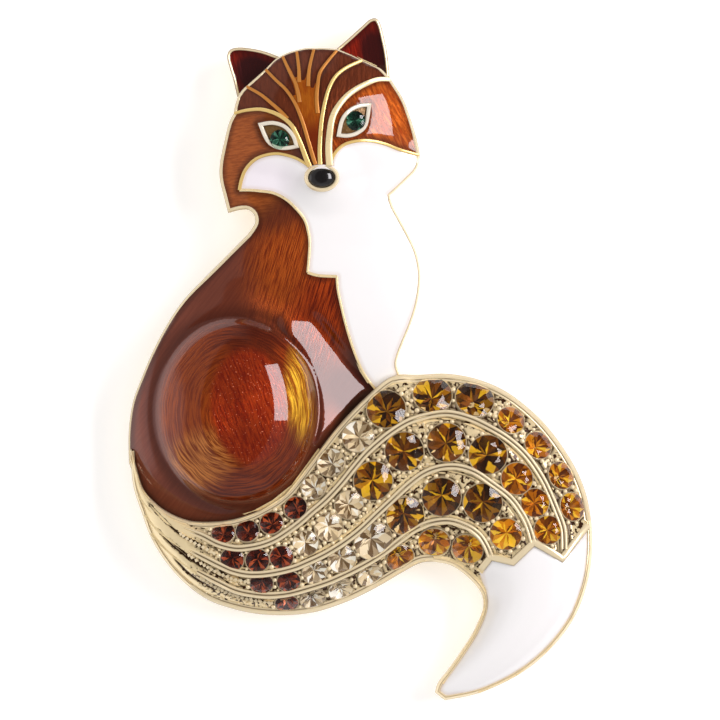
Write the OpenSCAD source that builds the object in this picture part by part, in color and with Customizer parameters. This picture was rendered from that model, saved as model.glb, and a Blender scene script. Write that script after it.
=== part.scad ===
// Fox brooch of cast and plated metal, hard enamel and cut stones.
// It lies on its back: +Z is its front, +Y its top, and the origin is under its middle.

/* [Brooch] */
// Width from the haunch to the curl of the tail
brooch_w = 46; // [44:0.1:60]
// Height from the right ear to the end of the tail
brooch_h = 67.8; // [66:0.1:88]
// Thickness of the casting at its edge
edge_h = 2; // [1.8:0.1:3]
// Width of the plain metal edge round the enamel
edge_w = 0.55; // [0.4:0.05:0.8]
// Thickness of the metal under the enamel
metal_t = 1.2; // [0.9:0.1:1.4]
// Width of the walls round the hollow back
wall_w = 1.4; // [1:0.1:2]

/* [Relief] */
// Rise of the haunch over the edge
haunch_rise = 6.4; // [4:0.1:8]
// Rise of the head over the edge
head_rise = 4; // [2.5:0.1:6]
// Rise of the muzzle over the head
muzzle_rise = 1.3; // [0:0.1:2.5]
// Rise of the neck and chest over the edge
chest_rise = 3.4; // [2:0.1:5]
// Thickness of the ears
ear_h = 2.2; // [1.8:0.1:3]

/* [Tail] */
// Height of the tail's upper border beside the haunch
tail_border_h = 4.6; // [3.6:0.1:5.4]
// Rise of the tail's crown between its borders
tail_rise = 2.6; // [1.6:0.1:3.6]
// Width of the ribs between the rows of stones
rib_w = 0.65; // [0.4:0.05:0.8]
// Height of the ribs over the stone seats
rib_h = 0.35; // [0.2:0.05:0.5]

/* [Enamel] */
// Depth of the enamel pockets
enamel_t = 0.6; // [0.5:0.05:0.8]
// How far the enamel stays below the metal
enamel_dip = 0.1; // [0.05:0.01:0.15]
// Width of the low ridges over the forehead
ridge_w = 0.4; // [0.3:0.05:0.5]
// Width of the broad lines over the eyes
brow_w = 0.85; // [0.6:0.05:1]
// Gap between the metal and what is set in it
fit_gap = 0.04; // [0.03:0.01:0.08]

/* [Stones] */
// Diameter of the smallest stones
stone_xs = 2.35; // [2:0.05:2.4]
// Diameter of the small stones
stone_s = 2.55; // [2.2:0.05:2.65]
// Diameter of the middle stones
stone_m = 2.85; // [2.4:0.05:2.95]
// Diameter of the large stones
stone_l = 3.2; // [2.8:0.05:3.3]
// Diameter of the largest stones
stone_xl = 3.9; // [3.4:0.05:4]
// Diameter of the two eyes
eye_d = 1.8; // [1.4:0.05:2]
// Width of the nose
nose_w = 2.85; // [2.4:0.05:3.2]

/* [Pin] */
// Width of the bar
bar_w = 2.4; // [1.8:0.1:3]
// Thickness of the bar
bar_t = 0.6; // [0.4:0.05:0.8]
// Depth of the notches that hold the bar's ends
bar_sink = 0.9; // [0.8:0.05:1]
// Diameter of the pin stem
stem_d = 0.8; // [0.6:0.05:1.2]
// Room for cloth between the bar and the stem
cloth_gap = 1; // [0.6:0.05:1.6]
// Metal round the stem at the hinge and the catch
lug_t = 0.3; // [0.2:0.05:0.5]

/* [Hidden] */

// The front view is drawn on squared paper. Its tables count squares from the paper's top left
// corner, so they are shares of the brooch's width and height.
chart_mid = [360, 359];
chart_w = 460;
chart_h = 678;
back_z = cloth_gap + stem_d + lug_t + bar_t + fit_gap - bar_sink;
high_z = 40;

function place(p) = [
    (p[0] - chart_mid[0]) / chart_w * brooch_w,
    (chart_mid[1] - p[1]) / chart_h * brooch_h
];
function mix(a, b, t) = a + (b - a) * t;
function turned(list) = [for (i = [len(list) - 1 : -1 : 0]) list[i]];

// Smooth curve through hand-set points, without its last point
function curve_at(a, b, c, d, t) =
    0.5 * (2 * b + (c - a) * t + (2 * a - 5 * b + 4 * c - d) * t * t
        + (3 * b - a - 3 * c + d) * t * t * t);
function stroke(p, n = 1) =
    let(m = len(p) - 1)
    [for (i = [0 : m - 1]) for (k = [0 : n - 1])
        curve_at(p[max(i - 1, 0)], p[i], p[i + 1], p[min(i + 2, m)], k / n)];
function whole_stroke(p, n = 1) = concat(stroke(p, n), [p[len(p) - 1]]);
function loop(strokes) = [for (s = strokes) each stroke(s)];

// Outline of the head, neck, back and chest
cheek_left_top = [[239, 98], [236, 108], [235, 115]];
cheek_left = [[235, 115], [230, 125], [225, 145], [221, 165], [221, 180], [225, 197], [229, 213]];
nape = [[229, 213], [240, 210], [249, 210], [255, 215], [256, 224], [249, 235]];
back = [[249, 235], [227, 257], [206, 278], [186, 299], [170, 322], [155, 350], [143, 378], [134, 403],
    [130, 432], [130, 462]];
under_body = [[130, 462], [140, 489], [151, 502], [166, 514], [184, 522], [205, 524], [236, 521],
    [256, 515], [276, 504], [296, 488], [313, 465], [331, 440], [346, 421], [358, 409], [377, 391]];
under_chest = [[377, 391], [388, 384], [400, 378]];
chest = [[400, 378], [396, 366], [397, 357], [403, 341], [410, 324], [416, 305], [419, 286], [419, 270],
    [415, 252], [407, 235], [392, 207], [389, 196]];
jaw_right = [[389, 196], [405, 181], [416, 169], [419, 156]];
temple_right = [[419, 156], [416, 141], [409, 118], [402, 100], [390, 81]];
crown_8 = [[390, 81], [381, 71], [371, 66], [362, 62]];
crown_7 = [[362, 62], [350, 56], [337, 51]];
crown_6 = [[337, 51], [325, 50], [314, 50]];
crown_5 = [[314, 50], [306, 50], [297, 52]];
crown_4 = [[297, 52], [290, 54], [283, 57]];
crown_3 = [[283, 57], [275, 62], [266, 71]];
crown_2 = [[266, 71], [256, 80], [247, 88]];
crown_1 = [[247, 88], [243, 92], [239, 98]];
body_outline = loop([
    cheek_left_top, cheek_left, nape, back, under_body, under_chest, chest, jaw_right, temple_right,
    crown_8, crown_7, crown_6, crown_5, crown_4, crown_3, crown_2, crown_1
]);

// Lines inside the outline
brow_left = [[235, 115], [246, 112], [261, 111], [273, 114], [283, 119], [292, 127], [298, 138], [303, 150],
    [307, 161], [310, 168]];
brow_right = [[390, 81], [378, 81], [365, 86], [353, 93], [344, 101], [336, 112], [332, 122], [330, 135],
    [329, 150], [330, 167]];
muzzle_left = [[310, 168], [301, 162], [292, 158], [278, 155], [264, 157], [254, 162], [246, 171],
    [242, 181], [240, 191]];
throat = [[240, 191], [250, 191], [261, 192], [274, 194], [286, 200], [295, 208], [304, 219], [308, 230],
    [310, 245], [308, 273]];
step = [[308, 273], [318, 276], [337, 277]];
flank = [[337, 277], [338, 290], [342, 309], [347, 329], [354, 351], [362, 370], [369, 381], [377, 391]];
muzzle_right = [[330, 167], [335, 155], [343, 147], [354, 143], [368, 142], [384, 145], [400, 151],
    [419, 156]];

// The enamel fields, each a closed run of strokes
brown_coat_field = [
    cheek_left, nape, back, under_body, turned(flank), turned(step), turned(throat), turned(muzzle_left),
    turned(brow_left)
];
cheek_right_field = [brow_right, muzzle_right, temple_right];
white_front_field = [
    muzzle_left, throat, step, flank, under_chest, chest, jaw_right, turned(muzzle_right),
    [[330, 167], [320, 166], [310, 168]]
];
nose_bridge_field = [
    [[301, 103], [304, 93], [309, 96], [314, 102], [318, 118], [320, 140], [320, 166]],
    [[320, 166], [316, 166]],
    [[316, 166], [312, 150], [307, 131], [303, 116], [301, 103]]
];
stripe_fields = [
    [
        turned(cheek_left_top), turned(crown_1), [[247, 88], [261, 96], [272, 105], [281, 113], [288, 121]],
        [[288, 121], [280, 117], [273, 114], [261, 111], [246, 112], [235, 115]]
    ],
    [
        turned(crown_2), [[266, 71], [276, 82], [286, 91], [294, 103], [300, 116], [305, 130], [310, 146],
        [315, 166]], [[315, 166], [310, 168]], [[310, 168], [307, 161], [303, 150], [298, 138], [292, 127],
        [288, 121]], [[288, 121], [281, 113], [272, 105], [261, 96], [247, 88]]
    ],
    [
        turned(crown_3), [[283, 57], [291, 73], [296, 84], [299, 95], [300, 105]],
        [[300, 105], [294, 100], [286, 91], [276, 82], [266, 71]]
    ],
    [turned(crown_4), [[297, 52], [299, 68], [299, 91]], [[299, 91], [296, 84], [291, 73], [283, 57]]],
    [turned(crown_5), [[314, 50], [310, 66], [307, 90]], [[307, 90], [301, 84], [299, 68], [297, 52]]],
    [
        turned(crown_6), [[337, 51], [326, 65], [320, 75], [317, 86], [314, 99]],
        [[314, 99], [310, 88], [310, 66], [314, 50]]
    ],
    [
        turned(crown_7), [[362, 62], [347, 69], [336, 78], [329, 90], [325, 104], [321, 121]],
        [[321, 121], [318, 110], [317, 98], [320, 80], [326, 66], [337, 51]]
    ],
    [
        turned(crown_8), brow_right, [[330, 167], [322, 166]],
        [[322, 166], [320, 145], [322, 122], [326, 104], [330, 90], [337, 78], [348, 69], [362, 62]]
    ]
];
ear_left_outline = [
    [[238, 97], [234, 80], [230, 67], [228, 57], [231, 51], [239, 49], [251, 50], [265, 53], [281, 59]],
    [[281, 59], [275, 68], [262, 82], [250, 92], [238, 97]]
];
ear_right_outline = [
    [[335, 52], [350, 39], [362, 28], [370, 21], [376, 20], [380, 26], [384, 42], [387, 58], [389, 80]],
    [[389, 80], [370, 78], [350, 66], [335, 52]]
];
eye_left_outline = [
    [[259, 125], [273, 123], [286, 127], [295, 137], [299, 149]],
    [[299, 149], [288, 151], [277, 150], [267, 143], [259, 125]]
];
eye_right_outline = [
    [[371, 105], [360, 106], [349, 111], [341, 121], [337, 138]],
    [[337, 138], [347, 139], [358, 136], [367, 127], [371, 105]]
];
eye_left_mid = [280, 140];
eye_right_mid = [355, 122];
nose_mid = [322, 179];

// The body's relief: three domes that run into each other, with the muzzle on top
haunch_mid = [238, 412];
haunch_reach = [112, 130];
head_mid = [320, 140];
head_reach = [135, 122];
chest_mid = [325, 275];
chest_reach = [130, 150];
muzzle_reach = [46, 42];
dome_blend = 1.2;
function dome(p, mid, reach) = 1 - pow((p[0] - mid[0]) / reach[0], 2) - pow((p[1] - mid[1]) / reach[1], 2);
function joined(a, b) = max(a, b) + pow(max(dome_blend - abs(a - b), 0), 2) / (4 * dome_blend);
function muzzle_at(p) = muzzle_rise * pow(max(dome(p, nose_mid, muzzle_reach), 0), 2);
function relief(p) =
    back_z + edge_h + muzzle_at(p)
    + joined(joined(haunch_rise * dome(p, haunch_mid, haunch_reach), head_rise * dome(p, head_mid, head_reach)),
        chest_rise * dome(p, chest_mid, chest_reach));
body_box = [[117, 39], [425, 531]];
body_cells = [12, 19];
function grid_point(i, j) = [
    mix(body_box[0][0], body_box[1][0], i / body_cells[0]),
    mix(body_box[0][1], body_box[1][1], j / body_cells[1])
];

// The tail, by sections: its upper border, its lower border, and the heights of the upper border
// and of the crown as shares of their named sizes
tail_sections = [
    [134, 458, 132, 449, 0.50, 0.05],
    [142, 487, 135, 484, 0.62, 0.10],
    [154, 502, 143, 510, 0.74, 0.20],
    [169, 513, 155, 541, 0.84, 0.36],
    [190, 521, 176, 571, 0.92, 0.60],
    [214, 522, 204, 595, 0.96, 0.80],
    [236, 519, 234, 607, 1.00, 0.92],
    [261, 510, 270, 613, 1.00, 1.00],
    [287, 493, 310, 611, 1.00, 1.00],
    [311, 463, 346, 600, 1.00, 1.00],
    [336, 430, 377, 585, 1.00, 1.00],
    [362, 402, 401, 571, 0.98, 1.00],
    [391, 378, 418, 562, 0.86, 1.05],
    [418, 376, 430, 560, 0.72, 1.15],
    [448, 375, 441, 561, 0.62, 1.25],
    [479, 381, 452, 564, 0.56, 1.25],
    [509, 395, 463, 571, 0.54, 1.20],
    [540, 421, 472, 579, 0.52, 1.15],
    [564, 452, 479, 587, 0.52, 1.10],
    [580, 482, 483, 595, 0.52, 1.10],
    [588, 512, 484, 603, 0.52, 1.10],
    [590, 545, 483, 611, 0.52, 1.10],
    [586, 579, 479, 621, 0.52, 1.08],
    [573, 615, 472, 635, 0.50, 1.00],
    [550, 646, 461, 652, 0.48, 0.85],
    [520, 671, 449, 669, 0.46, 0.60],
    [481, 690, 439, 682, 0.44, 0.30],
    [445, 698, 436, 691, 0.42, 0.05]
];
tail_cells = 7;
tail_fullness = 2.4;
tail_floor_t = 2.5;
hollow_first = 7;
hollow_last = 22;
hollow_min = 0.1;
wall_limit = 0.3;
tip_first = 16;
tip_crown = 0.1;
tip_inset = rib_w * 0.4;
tail_path = whole_stroke(tail_sections);
tail_end = len(tail_path) - 1;
function tail_width(s) = norm(place([s[0], s[1]]) - place([s[2], s[3]]));
function tail_point(s, v) = [mix(s[0], s[2], v), mix(s[1], s[3], v)];
function tail_share(s, j) =
    let(wall = min(wall_w / tail_width(s), wall_limit))
    j == 0 ? 0 : j == tail_cells ? 1 : mix(wall, 1 - wall, (j - 1) / (tail_cells - 2));
function tail_z(s, v) =
    back_z + mix(s[4] * tail_border_h, edge_h, v)
    + s[5] * tail_rise * (1 - pow(abs(2 * v - 1), tail_fullness));

// Where a point of the chart lies on the tail: the section that passes through it, and the share
// of the way from the upper border to the lower one
function aside(s, p) =
    cross([s[2] - s[0], s[3] - s[1]], [p[0] - s[0], p[1] - s[1]]) / norm([s[2] - s[0], s[3] - s[1]]);
function across(s, p) =
    ([p[0] - s[0], p[1] - s[1]] * [s[2] - s[0], s[3] - s[1]])
    / ([s[2] - s[0], s[3] - s[1]] * [s[2] - s[0], s[3] - s[1]]);
function tail_spot(p) = [
    for (i = [0 : len(tail_path) - 2])
        let(a = aside(tail_path[i], p), b = aside(tail_path[i + 1], p))
        if (a * b <= 0)
            let(s = mix(tail_path[i], tail_path[i + 1], abs(a) / (abs(a) + abs(b))), v = across(s, p))
            if (v > -0.1 && v < 1.1) [s, min(max(v, 0), 1)]
];
function tail_height(p) = let(spot = tail_spot(p)[0]) tail_z(spot[0], spot[1]);

// Lines on the tail
tail_rib_1 = [[141, 494], [152, 508], [167, 519], [185, 528], [203, 535], [219, 543], [236, 547], [251, 546],
    [264, 543], [278, 537], [297, 524], [312, 511], [326, 499], [341, 483], [354, 467], [366, 453],
    [378, 442], [392, 431], [409, 421], [429, 415], [448, 413], [469, 418], [490, 428], [509, 440],
    [526, 456], [540, 476], [549, 494], [556, 511], [562, 528]];
tail_rib_2 = [[147, 513], [159, 527], [173, 538], [190, 549], [206, 557], [220, 564], [234, 570], [250, 573],
    [270, 572], [293, 567], [308, 561], [325, 553], [343, 542], [360, 529], [377, 513], [392, 499],
    [407, 485], [423, 473], [439, 467], [456, 466], [473, 471], [491, 483], [508, 496], [519, 510],
    [527, 525], [532, 541]];
tail_rib_3 = [[153, 531], [166, 545], [181, 558], [198, 570], [217, 580], [236, 589], [255, 593], [272, 594],
    [290, 592], [312, 586], [330, 580], [350, 571], [369, 561], [386, 550], [400, 539], [414, 529],
    [430, 522], [449, 520], [467, 526], [479, 535], [486, 546], [490, 556]];
tip_border = [[588, 523], [561, 557], [547, 549], [533, 541], [512, 561], [501, 557], [490, 556],
    [479, 571]];
tail_tip_field = [
    [[588, 523], [574, 540], [561, 557]], [[561, 557], [547, 549], [533, 541]],
    [[533, 541], [522, 551], [512, 561]], [[512, 561], [501, 557], [490, 556]],
    [[490, 556], [484, 564], [479, 572]],
    [[479, 572], [483, 587], [484, 603], [479, 621], [472, 635], [461, 652], [449, 669], [438, 686]],
    [[438, 686], [440, 692], [447, 696]],
    [[447, 696], [481, 690], [520, 671], [550, 646], [573, 615], [586, 579], [590, 548], [588, 523]]
];

// The stones of the tail: x, y and diameter of each
garnets = [
    [224, 532, stone_xs], [248, 530, stone_xs], [272, 522, stone_xs], [296, 507, stone_xs],
    [233, 558, stone_xs], [258, 559, stone_xs], [282, 556, stone_xs],
    [262, 582, stone_xs], [289, 580, stone_xs], [287, 602, stone_xs]
];
champagnes = [
    [314, 486, stone_s], [331, 462, stone_m], [358, 436, stone_l],
    [306, 542, stone_s], [329, 526, stone_m], [349, 504, stone_m],
    [315, 571, stone_s], [342, 558, stone_m], [373, 540, stone_xl],
    [313, 598, stone_s], [341, 589, stone_s], [370, 575, stone_s]
];
topazes = [
    [386, 409, stone_xl], [432, 395, stone_xl], [474, 399, stone_xl], [510, 420, stone_m],
    [537, 445, stone_m], [560, 475, stone_m], [571, 506, stone_m],
    [373, 480, stone_xl], [404, 451, stone_xl], [446, 442, stone_xl], [487, 454, stone_xl],
    [516, 478, stone_l], [534, 502, stone_m], [547, 529, stone_m],
    [405, 515, stone_xl], [441, 496, stone_xl], [482, 502, stone_xl], [505, 533, stone_l],
    [400, 557, stone_m], [434, 541, stone_l], [467, 548, stone_l]
];

// Bezels and settings, and how deep their metal reaches below the enamel or the seats
line_w = ridge_w + 0.1;
line_root = 0.5;
rib_root = 1;
edge_rib_share = 0.6;
edge_rib_in = rib_w * 0.62;
brow_lift = 0.12;
bezel_w = 0.35;
bezel_lift = 0.3;
eye_sunk = 0.3;
nose_share = 0.76;
nose_rim_w = 0.32;
nose_base = 2;
nose_sunk = 0.35;
nose_dome = 1.15;
nose_rings = [[1, 0], [1, 0.3], [0.88, 0.64], [0.56, 0.92], [0.2, 1]];
nose_slice = 0.02;
nose_z = relief(nose_mid);
stone_lift = 0.05;

// The pin's place, behind the shoulders
bar_left = [184, 322];
bar_right = [402, 322];
catch_mid = [202, 322];
hinge_mid = [384, 322];
lug_l = 1.6;

// Proportions of a round cut stone, as shares of its diameter
table_share = 0.54;
crown_share = 0.16;
girdle_share = 0.04;
pavilion_share = 0.42;
facets = 8;

// Convex block between four lower and four upper corners. Hulling folds a warped top into planes.
module block(corners)
    hull() polyhedron(
        points = corners,
        faces = [[0, 1, 2, 3], [7, 6, 5, 4], [0, 4, 5, 1], [1, 5, 6, 2], [2, 6, 7, 3], [3, 7, 4, 0]]
    );

module prism(low = 0, high = high_z) translate([0, 0, low]) linear_extrude(high - low) children();

module chart_shape(points) polygon([for (p = points) place(p)]);

// A field's flat shape, drawn in from the lines round it and from the brooch's edge
module field_shape(field, line_w, gap = 0)
    intersection() {
        offset(delta = -line_w / 2 - gap) chart_shape(loop(field));
        offset(delta = -edge_w - gap) chart_shape(body_outline);
    }

// Closed solid between a lower and an upper grid of points. Its rows run down and its columns to
// the right, seen from the front.
module grid_solid(low, high) {
    rows = len(high);
    cols = len(high[0]);
    over = rows * cols;
    rim = concat(
        [for (j = [0 : cols - 2]) j], [for (i = [0 : rows - 2]) i * cols + cols - 1],
        [for (j = [cols - 1 : -1 : 1]) (rows - 1) * cols + j], [for (i = [rows - 1 : -1 : 1]) i * cols]
    );
    cells = [for (i = [0 : rows - 2], j = [0 : cols - 2]) i * cols + j];
    polyhedron(
        points = concat([for (row = low) each row], [for (row = high) each row]),
        faces = concat(
            [for (c = cells) each [[c, c + cols, c + cols + 1], [c, c + cols + 1, c + 1]]],
            [for (c = cells) let(d = c + over) each [[d, d + cols + 1, d + cols], [d, d + 1, d + cols + 1]]],
            [for (k = [0 : len(rim) - 1])
                let(p = rim[k], q = rim[(k + 1) % len(rim)]) each [[p, q, q + over], [p, q + over, p + over]]]
        )
    );
}

// The part of the body's relief between two heights that follow the chart, over the cells that
// hold the given points
module relief_part(points, low, high) {
    cell = [for (k = [0, 1]) (body_box[1][k] - body_box[0][k]) / body_cells[k]];
    reach = [for (k = [0, 1])
        let(run = [for (p = points) p[k]])
        [
            max(floor((min(run) - body_box[0][k]) / cell[k]), 0),
            min(ceil((max(run) - body_box[0][k]) / cell[k]), body_cells[k])
        ]];
    spots = [for (j = [reach[1][0] : reach[1][1]]) [for (i = [reach[0][0] : reach[0][1]]) grid_point(i, j)]];
    grid_solid(
        [for (row = spots) [for (q = row) [each place(q), low(q)]]],
        [for (row = spots) [for (q = row) [each place(q), high(q)]]]
    );
}

// The same for the tail, over a run of its sections. Its walls are the first and the last column
// of cells, which the margin leaves out.
module tail_part(first, last, margin, low, high) {
    spots = [for (j = [margin : tail_cells - margin])
        [for (k = [first : last]) [tail_path[k], tail_share(tail_path[k], j)]]];
    grid_solid(
        [for (row = spots) [for (q = row) [each place(tail_point(q[0], q[1])), low(q[0], q[1])]]],
        [for (row = spots) [for (q = row) [each place(tail_point(q[0], q[1])), high(q[0], q[1])]]]
    );
}

// A raised line along chart points, with its heights from a function of the chart
module ridge(points, w, sunk, lift, height) {
    spots = [for (p = points) place(p)];
    n = len(points);
    posts = [for (i = [0 : n - 1])
        let(
            run = spots[min(i + 1, n - 1)] - spots[max(i - 1, 0)],
            out = [-run[1], run[0]] / norm(run) * w / 2,
            z = height(points[i])
        )
        [
            [each (spots[i] - out), z - sunk], [each (spots[i] + out), z - sunk],
            [each (spots[i] + out), z + lift], [each (spots[i] - out), z + lift]
        ]];
    for (i = [0 : n - 2]) block(concat(posts[i], posts[i + 1]));
}

// The two lines over the eyes, which run on under the rim of the nose
module brow_lines(gap = 0)
    intersection() {
        prism() offset(delta = -edge_w / 4) chart_shape(body_outline);
        for (line = [brow_left, brow_right])
            ridge(
                concat(line, [mix(line[len(line) - 1], nose_mid, nose_share)]),
                brow_w + 2 * gap, enamel_t + line_root, brow_lift, function(p) relief(p)
            );
    }

module eye_block(outline, grow, low, high)
    intersection() {
        prism() offset(delta = grow) chart_shape(loop(outline));
        relief_part(loop(outline), low, high);
    }

module nose_prism(grow, low, high)
    translate([each place(nose_mid), nose_z + low])
        scale([nose_w / 2 + grow, nose_w / 2 * nose_share + grow, 1])
            linear_extrude(high - low) circle(r = 1, $fn = 20);

module pocket(field, line_w)
    intersection() {
        prism() field_shape(field, line_w);
        relief_part(loop(field), function(p) relief(p) - enamel_t, function(p) high_z);
    }

// Enamel that fills a pocket up to just below the metal round it
module enamel(field, line_w)
    difference() {
        intersection() {
            prism() field_shape(field, line_w, fit_gap);
            relief_part(
                loop(field),
                function(p) relief(p) - enamel_t + fit_gap,
                function(p) relief(p) - enamel_dip
            );
        }
        brow_lines(fit_gap);
        for (outline = [eye_left_outline, eye_right_outline])
            prism() offset(delta = fit_gap) chart_shape(loop(outline));
        nose_prism(nose_rim_w + fit_gap, -nose_base, nose_base);
    }

// Round cut stone with its girdle at the origin: a table, eight crown facets, eight below
module cut_stone(d)
    rotate_extrude($fn = facets) polygon([
        [0, -pavilion_share * d], [d / 2, -girdle_share * d / 2], [d / 2, girdle_share * d / 2],
        [table_share * d / 2, crown_share * d], [0, crown_share * d]
    ]);

// The hole that a stone sits in, open upwards
module stone_seat(d)
    rotate_extrude($fn = facets) polygon([
        [0, -pavilion_share * d - 2 * fit_gap], [d / 2 + fit_gap, -girdle_share * d / 2 - fit_gap],
        [d / 2 + fit_gap, d / 2], [0, d / 2]
    ]);

// Stands its children on the tail at a chart point, square to the surface there
module on_tail(p) {
    reach = 4;
    mm_x = 2 * reach / chart_w * brooch_w;
    mm_y = 2 * reach / chart_h * brooch_h;
    spot = [p[0], p[1]];
    lean = [
        (tail_height(spot - [reach, 0]) - tail_height(spot + [reach, 0])) / mm_x,
        (tail_height(spot + [0, reach]) - tail_height(spot - [0, reach])) / mm_y
    ];
    translate([each place(spot), tail_height(spot) + stone_lift])
        rotate([0, atan(norm(lean)), atan2(lean[1], lean[0])]) children();
}

module on_head(p) translate([each place(p), relief(p) - eye_sunk]) children();

module stones(list) for (s = list) on_tail(s) cut_stone(s[2]);

module ear_block(outline) prism(0, back_z + ear_h) chart_shape(loop(outline));

module ear_shape(outline, gap)
    difference() {
        offset(delta = -edge_w - gap) chart_shape(loop(outline));
        offset(delta = gap + ridge_w / 2) chart_shape(body_outline);
    }

module tail_ribs() {
    surface = function(p) tail_height(p);
    for (rib = [tail_rib_1, tail_rib_2, tail_rib_3, tip_border]) ridge(rib, rib_w, rib_root, rib_h, surface);
    side_run = [for (k = [2 : len(tail_path) - 2]) tail_path[k]];
    for (far = [0, 1]) {
        edge_run = [for (s = side_run)
            let(v = edge_rib_in / tail_width(s)) tail_point(s, far == 0 ? v : 1 - v)];
        ridge(edge_run, rib_w, rib_root, rib_h * edge_rib_share, surface);
    }
}

module body_solid()
    intersection() {
        prism() chart_shape(body_outline);
        relief_part(body_box, function(p) -1, function(p) relief(p));
    }

module hollow_back()
    intersection() {
        prism() offset(delta = -wall_w) chart_shape(body_outline);
        relief_part(body_box, function(p) -1, function(p) relief(p) - enamel_t - metal_t);
    }

module tail_solid() tail_part(0, tail_end, 0, function(s, v) 0, function(s, v) tail_z(s, v));

module tail_hollow()
    tail_part(
        hollow_first, hollow_last, 1,
        function(s, v) -1, function(s, v) max(tail_z(s, v) - tail_floor_t, back_z + hollow_min)
    );

module tip_part(low, high) tail_part(tip_first, tail_end, 0, low, high);

// All that lies behind the back plane
module below_back()
    translate([-brooch_w, -brooch_h, back_z - high_z]) cube([2 * brooch_w, 2 * brooch_h, high_z]);

module pin_notches() prism(0, back_z + bar_sink) offset(delta = fit_gap) bar_shape();

module bar_shape()
    translate([place(bar_left)[0], place(bar_left)[1] - bar_w / 2])
        square([place(bar_right)[0] - place(bar_left)[0], bar_w]);

module casting() color("gold")
    difference() {
        union() {
            difference() {
                body_solid();
                pocket(brown_coat_field, line_w);
                pocket(cheek_right_field, line_w);
                pocket(white_front_field, line_w);
                pocket(nose_bridge_field, ridge_w);
                for (field = stripe_fields) pocket(field, ridge_w);
            }
            difference() {
                union() {
                    ear_block(ear_left_outline);
                    ear_block(ear_right_outline);
                }
                prism(back_z + ear_h - enamel_t) {
                    ear_shape(ear_left_outline, 0);
                    ear_shape(ear_right_outline, 0);
                }
            }
            tail_solid();
            tail_ribs();
            brow_lines();
            for (outline = [eye_left_outline, eye_right_outline])
                eye_block(
                    outline, 0,
                    function(p) relief(p) - enamel_t - line_root,
                    function(p) relief(p) + bezel_lift
                );
            nose_prism(nose_rim_w, -nose_base, bezel_lift);
        }
        below_back();
        hollow_back();
        tail_hollow();
        pin_notches();
        for (s = concat(garnets, champagnes, topazes)) on_tail(s) stone_seat(s[2]);
        for (outline = [eye_left_outline, eye_right_outline])
            eye_block(outline, -bezel_w, function(p) relief(p) - eye_sunk, function(p) high_z);
        for (p = [eye_left_mid, eye_right_mid]) on_head(p) stone_seat(eye_d);
        nose_prism(0, -nose_sunk, nose_base);
        intersection() {
            prism() offset(delta = -tip_inset) chart_shape(loop(tail_tip_field));
            tip_part(function(s, v) tail_z(s, v) - enamel_t, function(s, v) high_z);
        }
    }

module tail_tip() color("white")
    intersection() {
        prism() offset(delta = -tip_inset - fit_gap) chart_shape(loop(tail_tip_field));
        tip_part(
            function(s, v) tail_z(s, v) - enamel_t + 2 * fit_gap,
            function(s, v) tail_z(s, v) + tip_crown
        );
    }

module brown_coat() color("saddlebrown") enamel(brown_coat_field, line_w);

module cheek_right() color("saddlebrown") enamel(cheek_right_field, line_w);

module nose_bridge() color("darkorange") enamel(nose_bridge_field, ridge_w);

module white_front() color("white") enamel(white_front_field, line_w);

module brow_stripe(i) color("maroon") enamel(stripe_fields[i - 1], ridge_w);

module ear(outline) color("darkred")
    prism(back_z + ear_h - enamel_t + fit_gap, back_z + ear_h - enamel_dip) ear_shape(outline, fit_gap);

// Domed oval nose in its rim
module nose() color("black")
    hull()
        for (ring = nose_rings)
            translate([each place(nose_mid), nose_z - nose_sunk + fit_gap + ring[1] * nose_dome])
                scale([nose_w / 2 - fit_gap, nose_w / 2 * nose_share - fit_gap, 1])
                    linear_extrude(nose_slice) circle(r = ring[0], $fn = 20);

module eye(p) color("darkgreen") on_head(p) cut_stone(eye_d);

module champagne_stones() color("wheat") stones(champagnes);

module garnet_stones() color("darkred") stones(garnets);

module topaz(i) color("orange") stones([topazes[i - 1]]);

// Bar, hinge lug, pin stem and catch lug in one piece
module pin_back() color("silver") {
    bar_low = back_z + bar_sink - fit_gap - bar_t;
    stem_z = lug_t + stem_d / 2;
    lug_d = stem_d + 2 * lug_t;
    translate([0, 0, bar_low]) linear_extrude(bar_t) bar_shape();
    for (p = [hinge_mid, catch_mid])
        translate([place(p)[0], place(p)[1], stem_z]) {
            translate([-lug_l / 2, 0, 0]) rotate([0, 90, 0]) cylinder(h = lug_l, d = lug_d, $fn = 32);
            translate([-lug_l / 2, -lug_d / 2, 0]) cube([lug_l, lug_d, bar_low - stem_z + bar_t / 2]);
        }
    stem_l = place(hinge_mid)[0] - place(catch_mid)[0];
    translate([place(catch_mid)[0], place(catch_mid)[1], stem_z])
        rotate([0, 90, 0]) cylinder(h = stem_l, d = stem_d, $fn = 32);
}

casting();
pin_back();
brown_coat();
cheek_right();
nose_bridge();
white_front();
tail_tip();
for (i = [1 : 8])
    brow_stripe(i);
ear(ear_left_outline);  // ear_left
ear(ear_right_outline);  // ear_right
nose();
eye(eye_left_mid);  // eye_left
eye(eye_right_mid);  // eye_right
champagne_stones();
garnet_stones();
for (i = [1 : 21])
    topaz(i);
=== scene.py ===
import bmesh
import bpy
import math
import random
from mathutils import Matrix, Vector
from mathutils.kdtree import KDTree


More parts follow.
